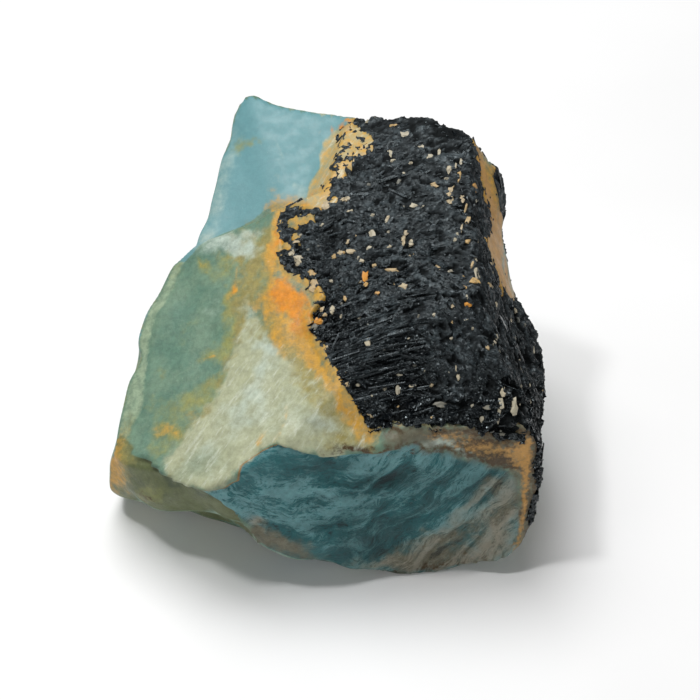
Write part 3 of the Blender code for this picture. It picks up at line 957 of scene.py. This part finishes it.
def crust_skin(rays):
    """Radius of the crust's outer skin and its relief: low lumps, facets in three sizes, long
    ridges in one patch, slit-like pits and deep hollows, diving under the block at its edge."""
    radius = stone_radius(rays)
    points = HEART + rays * radius[:, None]
    jagged = 0.14 * cloud(points, 1.3, 71) + 0.28 * cloud(points, 0.55, 72)
    scattered = spots_share(seen_at(placed(rays, radius)), SCATTER_SPOTS)
    scattered = scattered * (cloud(points, 0.55, 66) + 0.5 * cloud(points, 0.3, 67) + 0.12)
    cover = crust_cover(rays, radius) + jagged + 0.22 + 1.3 * scattered
    blades = bump(rays, *BLADE_PLACE, BLADE_SPREAD)
    flank = flank_share(rays)
    broken = broken_share(points)
    lumps = LUMP_HEIGHT * (0.4 - np.minimum(nearest_cell(points / LUMP_SIZE, SEED + 3)[0], 1))
    grain = chips_of(drawn_out(points, in_picture(GRAIN_ANGLE), 1.35), GRAIN_CHIPS)
    grain = grain * (0.55 + 0.45 * broken) * (1 - 0.45 * limb_share(rays))
    ridge_way = in_picture(RIDGE_ANGLE)
    ridges = chips_of(drawn_out(points, ridge_way, 7.0), RIDGE_CHIPS)
    ridges = ridges + 0.12 * chips(points, 0.36, 93)
    level_slits = cloud(drawn_out(points, in_picture(GROWTH_ANGLE), 2.0), 0.42, 74)
    steep_slits = cloud(drawn_out(points, in_picture(FLANK_ANGLE), 3.0), 0.42, 74)
    slits = level_slits * (1 - flank) + steep_slits * flank + 0.35 * cloud(points, 1.6, 75)
    pits = PIT_DEPTH * ramp(slits + 0.06 * broken, 0.22, 0.45)
    hollows = ramp(cloud(points, 1.5, 78) + 0.4 * cloud(points, 0.7, 79), 0.22, 0.60)
    pits = pits + HOLLOW_DEPTH * hollows * broken
    slots = SLOT_DEPTH * ramp(cloud(drawn_out(points, ridge_way, 6.0), 0.7, 76), 0.35, 0.8)
    relief = lumps * (1 - 0.8 * blades) + grain * (1 - blades) + ridges * blades
    relief = relief - pits * (1 - 0.6 * blades) - slots * blades
    shown = ramp(cover, -0.25, 0.35)
    settle = ramp(cover, 0.0, 1.4)
    relief = 0.12 - 0.30 * settle + relief * (0.35 + 0.65 * settle)
    return radius + relief * shown - (CRUST_DEPTH + CRUST_SINK) * (1 - shown), relief


def group_of(name, inputs, outputs):
    """A new node group with the named sockets, and what its inputs bring in."""
    group = bpy.data.node_groups.new(name, "ShaderNodeTree")
    for way, sockets in (("INPUT", inputs), ("OUTPUT", outputs)):
        for socket, kind in sockets.items():
            group.interface.new_socket(socket, in_out=way, socket_type="NodeSocket" + kind)
    return group, node(group, "NodeGroupInput").outputs


def films_group():
    """Node group: the colour of schorl, near-black with grey films in patches and painted
    glints as pale specks, both only on what is raised, so that the cavities stay black with
    painted shade, and more of both where it is matt: its dull top is greyer, and its low parts
    are darker, partly as painted shade."""
    sockets = {"Place": "Vector", "Matt": "Float", "Raised": "Float"}
    group, given = group_of("films", sockets, {"Color": "Color"})
    place, matt, raised = (given[name] for name in sockets)
    # Grey films in patches; their fading in cavities is painted shade, and their fading low down
    # where the crust is least matt is partly painted shade
    film = product_of(
        group,
        fade(group, noise_of(group, place, 0.9, 6.0, 0.8), 0.44, 0.60),
        fade(group, matt, 0.0, 1.0, 0.05, 1.0),
        raised,
        fade(group, noise_of(group, place, 2.6, 3.0, 0.6), 0.40, 0.60, 0.35, 1.3),
    )
    # Painted glints: small pale specks on raised parts, most where the crust is matt
    painted_glints = product_of(
        group,
        fade(group, noise_of(group, place, 0.26, 5.0, 0.8), 0.63, 0.68, 0.0, 0.9),
        fade(group, matt, 0.0, 1.0, 0.8, 1.0),
        raised,
    )
    colour = blend_of(group, film, SCHORL_BLACK, SCHORL_FILM)
    colour = blend_of(group, painted_glints, colour, SCHORL_GLINT)
    node(group, "NodeGroupOutput", {"Color": colour})
    return group


def tipped_group():
    """Node group: a normal that tips another way in each cell of a pattern, like many small
    crystal faces. Tip is how far it tips."""
    sockets = {"Place": "Vector", "Tip": "Float", "Normal": "Vector"}
    group, given = group_of("tipped_faces", sockets, {"Normal": "Vector"})
    sockets = {"Vector": given["Place"], "Scale": 1 / (FACE_SIZE * MM)}
    cell = node(group, "ShaderNodeTexVoronoi", sockets, feature="F1").outputs["Color"]
    way = vector_of(group, "SUBTRACT", {0: cell, 1: (0.5, 0.5, 0.5)})
    way = vector_of(group, "SCALE", {0: way, "Scale": given["Tip"]})
    way = vector_of(group, "ADD", {0: given["Normal"], 1: way})
    node(group, "NodeGroupOutput", {"Normal": vector_of(group, "NORMALIZE", {0: way})})
    return group


films = films_group()
tipped_faces = tipped_group()


def schorl_material(name, glassy):
    """Near-black tourmaline, darkened in its cavities by painted shade, with grey films and
    painted glints as pale specks: dull where it is a crushed mass, and glossy with fine
    lengthwise lines where it is in single prisms."""
    made, tree, shader, place = material_named(name)
    depth = value_of(tree, "depth")
    matt = value_of(tree, "matt")
    # Painted shade: the colour darkens, and the gloss fades, where the relief sinks into cavities
    sunk = fade(tree, depth, -0.55, -0.12)
    gleam = noise_of(tree, place, 0.5, 3.0)
    if glassy:
        raised = 1.0
        gloss = fade(tree, gleam, 0.35, 0.65, 0.92, 0.66)
        facets = noise_of(tree, value_of(tree, "grain", "Vector"), 0.18, 2.0, 0.5)
        tip = fade(tree, matt, 0.0, 1.0, 0.5, 0.3)
        drawn = stretched(tree, place, in_picture(GROWTH_ANGLE), 3.0)
    else:
        # Painted shade: films and painted glints fade out in the cavities
        raised = fade(tree, depth, -0.42, 0.02, 0.1, 1.0)
        dull = fade(tree, matt, 0.0, 1.0, 0.94, 0.56)
        shine = fade(tree, gleam, 0.35, 0.65, -0.22, 0.06)
        gloss = product_of(tree, sum_of(tree, dull, shine), sunk)
        sockets = {"Vector": place, "Scale": 1 / (0.34 * MM)}
        facets = node(tree, "ShaderNodeTexVoronoi", sockets, feature="F1").outputs["Distance"]
        tip = fade(tree, matt, 0.0, 1.0, 1.5, 0.8)
        drawn = stretched(tree, place, in_picture(GROWTH_ANGLE), 1.5)
    sockets = {"Place": place, "Matt": matt, "Raised": raised}
    colour = node(tree, "ShaderNodeGroup", sockets, node_tree=films).outputs[0]
    fine = sum_of(tree, facets, noise_of(tree, place, 0.45, 1.0, 0.5))
    sockets = {"Height": fine, "Strength": 0.5, "Distance": 0.05 * MM}
    normal = node(tree, "ShaderNodeBump", sockets).outputs[0]
    sockets = {"Place": drawn, "Tip": tip, "Normal": normal}
    plug(tree, shader, {
        "Base Color": blend_of(tree, 1.0, colour, sunk, "MULTIPLY"),
        "Roughness": math_of(tree, "SUBTRACT", 1.0, gloss),
        "Normal": node(tree, "ShaderNodeGroup", sockets, node_tree=tipped_faces).outputs[0],
        "IOR": 1.65,
        "Specular IOR Level": 0.30,
        "Specular Tint": (0.84, 0.96, 1.0, 1),
    })
    return made


def crust_mesh():
    """The crust's skin on a square grid of the map, kept where it lies on the crust or a little
    past it, and closed below by a cone of faces to one point inside the stone."""
    steps = np.arange(-MAP_HALF, MAP_HALF, CRUST_STEP)
    across, up = np.meshgrid(steps, steps, indexing="ij")
    places = np.stack((across.ravel(), up.ravel()), axis=1)
    rays = from_chart(places)
    kept = crust_cover(rays, stone_radius(rays)) > -CRUST_MARGIN
    kept &= np.linalg.norm(places, axis=1) < MAP_END
    quads = grid_quads(*across.shape)
    quads = quads[kept[quads].all(axis=1)]
    used, renamed = np.unique(quads, return_inverse=True)
    quads = renamed.reshape(-1, 4)
    rays = rays[used]
    skin, relief = crust_skin(rays)
    points = placed(rays, skin)
    starts = quads.ravel()
    ends = np.roll(quads, -1, axis=1).ravel()
    count = len(points)
    there = np.isin(starts * count + ends, ends * count + starts)
    rim = np.stack((ends[~there], starts[~there]), axis=1)
    tip = placed(direction(*CRUST_CENTRE)[None], np.array([UNDERSIDE]))
    cone = np.column_stack((rim, np.full(len(rim), count)))
    triangles = np.concatenate((quads[:, (0, 1, 2)], quads[:, (0, 2, 3)], cone))
    return np.concatenate((points, tip)), triangles, np.append(relief, 0.0)


crust_points, crust_faces, crust_relief = crust_mesh()
crust_matt = matt_share(crust_points)
crust_soft = crust_matt[crust_faces[:, 0]] > MATT_ENOUGH
crust = mesh_piece("crust", crust_points, crust_faces, smooth=crust_soft)
add_values(crust, "depth", crust_relief)
add_values(crust, "matt", crust_matt)
crust.data.materials.append(schorl_material("schorl_mass", False))
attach(crust, "root")
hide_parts("black_tourmaline")

# Schorl splinters
# Short broken prisms that make up the crust's surface, jumbled where the mass is granular and
# lying in long parallel blades in one patch, with flat glossy sides and broken ends.
PRISM_SIDES = 5
STREWN_HALF = 1.5
STREWN_END = 1.7
# Piece, number, whether in the bladed patch, seed, then middle and spread of the width, of the
# length to the width and of the height to the width, the length at the crust's edge, the spread
# of the ways in the picture, the tilt, and the share of the height that is sunk
STREWN_PRISMS = (
    ("chunks", 4600, False, 11, (0.33, 0.42), (1.3, 0.3), (0.7, 0.2), 9.0, 45, 8, 0.3),
    ("thin_splinters", 1300, False, 21, (0.16, 0.25), (5.0, 0.35), (0.7, 0.0), 0.2, 22, 5, 0.1),
    ("blades", 420, True, 31, (0.24, 0.35), (11.0, 0.45), (0.8, 0.0), 0.8, 4, 1.5, 0.1),
)
LENGTH_PER_ROOM = 1.3
# Single larger prisms: middle across, middle down, length, width and angle in the picture
LONE_BLADES_SEEN = (
    (379, 222, 36, 9, -70), (355, 194, 30, 5, -10), (386, 176, 26, 6, 14), (430, 258, 44, 6, -42),
    (450, 280, 36, 5, -48), (398, 192, 22, 6, -35), (503, 323, 14, 11, -20), (470, 345, 40, 4, -58),
    (455, 325, 44, 4, -50), (410, 300, 50, 5, 3), (372, 318, 46, 5, 2), (352, 302, 34, 5, 6),
    (365, 345, 40, 6, 14), (380, 365, 52, 5, 16), (357, 360, 40, 4, 14), (402, 331, 24, 7, 12),
    (345, 323, 30, 8, 70), (333, 345, 24, 6, 72), (520, 350, 14, 8, -60), (440, 345, 30, 4, -35),
    (372, 392, 40, 5, 20), (400, 352, 44, 4, 14), (425, 420, 20, 8, 8), (495, 250, 26, 5, -70),
    (475, 210, 30, 4, -66), (480, 320, 26, 5, -50), (357, 222, 22, 5, -24), (340, 230, 24, 5, 12),
    (325, 225, 20, 5, 30),
)


def prism_faces(sides):
    """Triangles of a prism whose first ring is its start and second ring its end."""
    ring = np.arange(sides)
    after = (ring + 1) % sides
    walls = np.concatenate((
        np.stack((ring, after, after + sides), axis=1),
        np.stack((ring, after + sides, ring + sides), axis=1),
    ))
    fan = np.arange(1, sides - 1)
    start = np.stack((np.zeros_like(fan), fan + 1, fan), axis=1)
    end = np.stack((np.zeros_like(fan), fan, fan + 1), axis=1) + sides
    return np.concatenate((walls, start, end))


def prisms(name, centres, along, normals, sizes, seed):
    """One mesh of many prisms: each a flattened, uneven ring carried from end to end of its
    length, with slanting ends. Sizes are lengths, widths and heights."""
    chance = np.random.default_rng(seed)
    count = len(centres)
    lengths, widths, heights = sizes
    up = unit(normals - np.sum(normals * along, axis=1)[:, None] * along)
    side = np.cross(up, along)
    turn = np.linspace(0, 2 * np.pi, PRISM_SIDES, endpoint=False)
    angles = turn + chance.uniform(-0.45, 0.45, (count, PRISM_SIDES))
    angles = angles + chance.uniform(0, 6, (count, 1))
    size = chance.uniform(0.7, 1.15, (count, PRISM_SIDES))
    ring_side = np.cos(angles) * size * widths[:, None] / 2
    ring_up = np.sin(angles) * size * heights[:, None] / 2
    points = []
    grain = []
    for sign in (-1, 1):
        slant = chance.uniform(-0.8, 0.8, (count, 2))
        taper = chance.uniform(0.55, 1.0, (count, 1))
        run = sign * lengths[:, None] / 2 + slant[:, :1] * ring_side + slant[:, 1:] * ring_up
        local = np.stack((run, ring_side * taper, ring_up * taper), axis=2)
        frames = np.stack((along, side, up), axis=1)
        points.append(centres[:, None] + local @ frames)
        grain.append(local * (0.12, 1, 1) + chance.uniform(0, 90, (count, 1, 3)))
    points = np.concatenate(points, axis=1).reshape(-1, 3)
    grain = np.concatenate(grain, axis=1).reshape(-1, 3)
    step = np.arange(count)[:, None, None] * 2 * PRISM_SIDES
    faces = prism_faces(PRISM_SIDES)[None] + step
    piece = mesh_piece(name, points, faces.reshape(-1, 3), smooth=False)
    add_values(piece, "grain", grain * MM)
    add_values(piece, "depth", np.full(len(points), 0.1))
    add_values(piece, "matt", matt_share(points))
    return piece


def lying_along(normals, ways, tilts):
    """Unit vectors that follow given ways along the surface, tipped out of it by some tilts."""
    flat = unit(ways - np.sum(ways * normals, axis=1)[:, None] * normals)
    return np.cos(tilts)[:, None] * flat + np.sin(tilts)[:, None] * normals


def strewn(count, bladed, seed):
    """Rays strewn over the crust, most of them where it is broken, or over its bladed patch."""
    chance = np.random.default_rng(seed)
    tries = count * (30 if bladed else 8)
    places = chance.uniform(-STREWN_HALF, STREWN_HALF, (tries, 2))
    places = places[np.linalg.norm(places, axis=1) < STREWN_END]
    rays = from_chart(places)
    radius = stone_radius(rays)
    share = bump(rays, *BLADE_PLACE, BLADE_SPREAD * 0.8)
    jumbled = (1 - 0.75 * share) * (0.4 + 0.6 * broken_share(placed(rays, radius)))
    jumbled = jumbled * (1 - 0.6 * limb_share(rays))
    wanted = ramp(crust_cover(rays, radius), -0.1, 0.5) * (share if bladed else jumbled)
    keep = chance.uniform(0, 1, len(rays)) < wanted
    return rays[keep][:count]


def growth_way(rays, spread, seed):
    """Angle in the picture, in degrees, that the crust grew along, with a random spread."""
    chance = np.random.default_rng(seed).normal(0, 1, len(rays))
    return GROWTH_ANGLE - FLANK_TURN * flank_share(rays) + spread * chance


def crust_prisms(name, rays, angles, tilt, sizes, sunk, seed):
    """Prisms bedded in the crust at given rays, turned to given angles in the picture, tipped
    by a random tilt, both in degrees, and sunk by a share of their height."""
    chance = np.random.default_rng(seed)
    radius = stone_radius(rays)
    tilts = np.radians(tilt) * chance.normal(0, 1, len(rays))
    normals = stone_normal(rays, radius)
    along = lying_along(normals, in_picture(angles), tilts)
    skin = crust_skin(rays)[0]
    centres = placed(rays, np.minimum(skin, radius + 0.05) - sunk * sizes[2])
    return prisms(name, centres, along, normals, sizes, seed + 1)


def spread_sizes(count, middle, spread, seed):
    """Sizes about a middle size, few of them large, none beyond a third or 2.4 times it."""
    chance = np.random.default_rng(seed)
    return middle * np.clip(np.exp(spread * chance.normal(0, 1, count)), 0.35, 2.4)


def strewn_prisms(name, count, bladed, seed, width, length, height, least, turn, tilt, sunk):
    """Prisms strewn over the crust, in sizes about middle ones, each no longer than the room
    between it and the crust's edge allows."""
    rays = strewn(count, bladed, seed)
    widths = spread_sizes(len(rays), *width, seed + 1)
    lengths = widths * spread_sizes(len(rays), *length, seed + 2)
    heights = widths * spread_sizes(len(rays), *height, seed + 3)
    room = np.maximum(crust_cover(rays, stone_radius(rays)), 0)
    lengths = np.minimum(lengths, least + LENGTH_PER_ROOM * room)
    angles = growth_way(rays, turn, seed + 5)
    return crust_prisms(name, rays, angles, tilt, (lengths, widths, heights), sunk, seed + 4)


prism_pieces = [strewn_prisms(*kind) for kind in STREWN_PRISMS]
lone = np.array(LONE_BLADES_SEEN, float)
lone_length, lone_width = lone[:, 2:4].T / PIXELS_PER_MM
lone_sizes = (lone_length, lone_width, 0.6 * lone_width)
lone_rays = on_stone(lone[:, :2])
prism_pieces.append(crust_prisms("lone_blades", lone_rays, lone[:, 4], 0, lone_sizes, -0.1, 45))
schorl_prisms = schorl_material("schorl_prisms", True)
for piece in prism_pieces:
    piece.data.materials.append(schorl_prisms)
    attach(piece, "root")

# Feldspar grains
# Small cream and ochre grains caught in the tourmaline, bedded to half their depth or more.
# Most stand where the photograph shows them, and smaller ones are strewn between.
LOOSE_GRAINS = 130
GRAIN_SIDE = 2
# Middle across, middle down, width, length and turn in the picture, and warmth, which runs from
# below 0 for grey to 1 for ochre
GRAINS_SEEN = (
    (298, 259, 13, 8, 40, 0.1), (291, 252, 6, 6, 0, 0.1), (311, 272, 9, 6, 20, 0.4),
    (313, 285, 8, 10, 0, 0.3), (319, 293, 6, 6, 0, 0.3), (292, 237, 5, 9, 20, 0.2),
    (300, 236, 4, 8, -20, 0.2), (296, 242, 8, 3, 0, 0.2), (326, 205, 10, 7, 20, 0.2),
    (337, 199, 14, 6, -25, 0.1), (346, 197, 6, 4, 0, 0.1), (393, 124, 7, 3, 10, 0.4),
    (405, 133, 9, 6, 0, 0), (391, 150, 10, 4, 55, 0), (394, 158, 7, 4, 20, 0),
    (415, 203, 8, 6, 20, 0), (373, 232, 7, 12, -15, 0), (371, 247, 8, 6, 40, 0),
    (372, 216, 5, 3, 0, 0), (387, 221, 3, 6, 0, 0), (405, 230, 8, 5, 20, 0.2),
    (413, 241, 6, 7, 0, 0.1), (452, 188, 7, 12, 10, 0.25), (461, 172, 4, 14, 8, 0.5),
    (475, 188, 7, 11, 15, 0.7), (452, 198, 6, 9, 0, 0.2), (464, 196, 4, 9, 10, 0.2),
    (470, 218, 4, 10, 25, 0.3), (435, 184, 7, 5, 20, 0.3), (449, 170, 4, 8, 10, 0.1),
    (463, 158, 3, 7, 10, 0), (430, 155, 7, 4, -15, 0), (480, 273, 9, 15, 10, 0),
    (476, 281, 9, 6, 30, 0.5), (490, 285, 6, 6, 0, 0.3), (366, 275, 6, 12, 2, 1.0),
    (366, 283, 5, 4, 0, 0.6), (318, 320, 8, 7, 20, 0.9), (470, 304, 7, 4, 0, 0.9),
    (404, 285, 8, 5, 40, 0.2), (378, 293, 5, 3, 0, 0.7), (392, 269, 14, 3, 15, 0.3),
    (440, 266, 4, 6, -30, 0.3), (470, 239, 8, 4, -20, 0.4), (479, 239, 4, 5, 0, 0),
    (465, 287, 6, 5, 0, 0.6), (368, 342, 5, 10, -5, 0.1), (398, 390, 4, 8, -5, -0.3),
    (443, 406, 11, 4, 0, -0.7), (433, 385, 4, 4, 0, 0.2), (456, 368, 2, 5, 0, 0.1),
    (458, 377, 3, 5, 0, 0.1), (412, 386, 7, 2, 0, 0.1), (468, 296, 2, 6, -20, 0),
    (513, 319, 3, 8, 10, 0.1), (497, 343, 6, 3, -30, -0.2), (525, 374, 4, 11, -15, -0.1),
    (517, 408, 7, 11, 10, -0.1), (503, 393, 5, 8, 10, 0.1), (501, 403, 4, 9, -10, 0),
    (500, 416, 3, 10, 5, -0.2), (484, 420, 4, 5, 0, -0.3), (489, 408, 7, 4, 0, -0.6),
    (349, 388, 3, 5, 0, 0.1), (529, 384, 3, 4, 0, 0), (534, 350, 2, 7, 0, -0.3),
    (435, 315, 3, 3, 0, 0), (475, 328, 3, 3, 0, -0.1), (341, 315, 4, 5, 0, 0.1),
    (350, 252, 8, 4, 10, 0.2), (334, 255, 5, 5, 0, 0.4), (318, 320, 6, 6, 0, 0.9),
    (332, 310, 5, 7, 0, 0.1), (322, 309, 4, 5, 0, 0.3), (325, 315, 4, 3, 0, 0.3),
    (404, 240, 4, 8, 0, 0.2), (411, 254, 3, 5, 30, 0.2), (375, 263, 4, 4, 0, 0.3),
    (340, 252, 5, 4, 0, 0.2), (455, 240, 3, 4, 0, 0), (343, 199, 6, 4, 30, 0.2),
    (424, 205, 5, 3, 0, 0), (488, 245, 4, 7, 20, 0.1), (478, 258, 3, 5, 0, 0),
    (455, 305, 4, 4, 0, 0.2), (497, 306, 4, 9, 5, 0.1), (456, 165, 2, 5, 10, 0.1),
    (447, 178, 5, 3, 0, 0), (468, 206, 2, 10, 15, 0.3), (462, 228, 2, 9, 15, 0.2),
    (474, 262, 3, 9, 20, 0.3), (441, 150, 3, 6, 0, 0), (422, 146, 6, 3, 20, 0),
    (412, 160, 4, 3, 0, 0.1), (350, 211, 5, 3, 0, 0.1), (362, 260, 6, 3, 30, 0.1),
    (390, 246, 4, 3, 0, 0.1),
)
# Warmth that each tone starts at, warmth that it is full at, and its screen colour
FELDSPAR_TONES = (
    (-1.0, 0.0, (176, 168, 146)), (0.0, 0.5, (180, 148, 92)), (0.5, 1.0, (196, 130, 34)),
)


def grain_lumps(name, rays, sizes, angles, seed):
    """Uneven lumps bedded at given rays, each an uneven ball stretched to its own sizes along
    the picture's way at its angle, across it, and outward."""
    chance = np.random.default_rng(seed)
    radius = stone_radius(rays)
    normals = stone_normal(rays, radius)
    along = lying_along(normals, in_picture(angles), np.zeros(len(rays)))
    frames = np.stack((along, np.cross(normals, along), normals), axis=1)
    ball, quads = sphere_rays(GRAIN_SIDE, 0.0, GRID_TOWARDS)
    uneven = chance.uniform(0.45, 1.35, (len(rays), len(ball), 1))
    local = ball[None] * uneven * sizes[:, None] / 2
    skin = np.clip(crust_skin(rays)[0], radius - 0.35, radius + 0.1)
    points = placed(rays, skin - 0.02)[:, None] + local @ frames
    faces = quads[None] + np.arange(len(rays))[:, None, None] * len(ball)
    piece = mesh_piece(name, points.reshape(-1, 3), faces.reshape(-1, 4), smooth=False)
    return piece, len(ball)


def feldspar_material():
    """Dull cream feldspar, ochre where iron has stained it."""
    made, tree, shader, place = material_named("feldspar")
    warm = value_of(tree, "warm")
    colour = tint(92, 94, 88)
    for low, high, screen in FELDSPAR_TONES:
        colour = blend_of(tree, fade(tree, warm, low, high), colour, tint(*screen))
    soil = fade(tree, noise_of(tree, place, 0.5, 4.0, 0.7), 0.5, 0.7, 0.0, 0.6)
    colour = blend_of(tree, soil, colour, tint(96, 90, 78))
    plug(tree, shader, {"Base Color": colour, "Roughness": 0.55})
    return made


def feldspar_piece():
    """The grains seen in the photograph, and loose smaller ones strewn over the whole crust."""
    chance = np.random.default_rng(41)
    seen = np.array(GRAINS_SEEN, float)
    rays = np.concatenate((on_stone(seen[:, :2]), strewn(LOOSE_GRAINS, False, 42)))
    small = spread_sizes(len(rays) - len(seen), 0.30, 0.35, 43)
    width = np.concatenate((seen[:, 2] / PIXELS_PER_MM, small))
    length = np.concatenate((1.15 * seen[:, 3] / PIXELS_PER_MM, small * 1.5))
    sizes = np.stack((width, length, 0.35 * np.minimum(width, length) + 0.15), axis=1)
    sizes = sizes * (1.2, 1.2, 1.0)
    angles = np.concatenate((-seen[:, 4], np.degrees(chance.uniform(0, 3, len(small)))))
    warmth = np.concatenate((seen[:, 5], chance.uniform(-1.2, 0.6, len(small))))
    piece, corners = grain_lumps("feldspar", rays, sizes, angles, 44)
    add_values(piece, "warm", np.repeat(warmth, corners))
    return piece


feldspar = feldspar_piece()
feldspar.data.materials.append(feldspar_material())
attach(feldspar, "root")

# Studio
# A pale floor, one large soft light above and a little behind on the left, a small one beside
# it for glints, a weaker one in front, and an even pale surrounding.
FLOOR_HALF = 1500
LIGHTS_AIM = (0, 0, 15)
WORLD_STRENGTH = 0.15


def floor_material():
    """Matt pale board with a faint unevenness."""
    made, tree, shader, place = material_named("floor")
    shade = fade(tree, noise_of(tree, place, 40.0, 2.0), 0.3, 0.7)
    colour = blend_of(tree, shade, (0.86, 0.86, 0.86, 1), (0.89, 0.89, 0.89, 1))
    plug(tree, shader, {"Base Color": colour, "Roughness": 0.9})
    return made


def soft_light(name, place, side, power):
    """A square area light aimed at the stone's middle. Place and side are in millimetres."""
    lamp = bpy.data.lights.new(name, "AREA")
    lamp.shape = "SQUARE"
    lamp.size = side * MM
    lamp.energy = power
    light = bpy.data.objects.new(name, lamp)
    light.location = [value * MM for value in place]
    across, deep, high = np.subtract(LIGHTS_AIM, place)
    tip = math.acos(-high / math.hypot(across, deep, high))
    light.rotation_euler = (tip, 0, math.atan2(deep, across) - math.pi / 2)
    bpy.context.scene.collection.objects.link(light)


floor_corners = ((-1, -1, 0), (1, -1, 0), (1, 1, 0), (-1, 1, 0))
floor_points = FLOOR_HALF * np.array(floor_corners, float)
floor = mesh_piece("floor", floor_points, np.array(((0, 1, 2, 3),)))
floor.data.materials.append(floor_material())
soft_light("overhead", (-80, 120, 420), 280, 1.70)
soft_light("glint", (-150, -30, 400), 40, 0.45)
soft_light("front_fill", (80, -400, 260), 80, 0.36)
world = bpy.data.worlds.new("studio")
world.use_nodes = True
sockets = {"Color": (1, 1, 1, 1), "Strength": WORLD_STRENGTH}
plug(world.node_tree, world.node_tree.nodes["Background"], sockets)
bpy.context.scene.world = world
bpy.context.scene.view_settings.view_transform = "Standard"
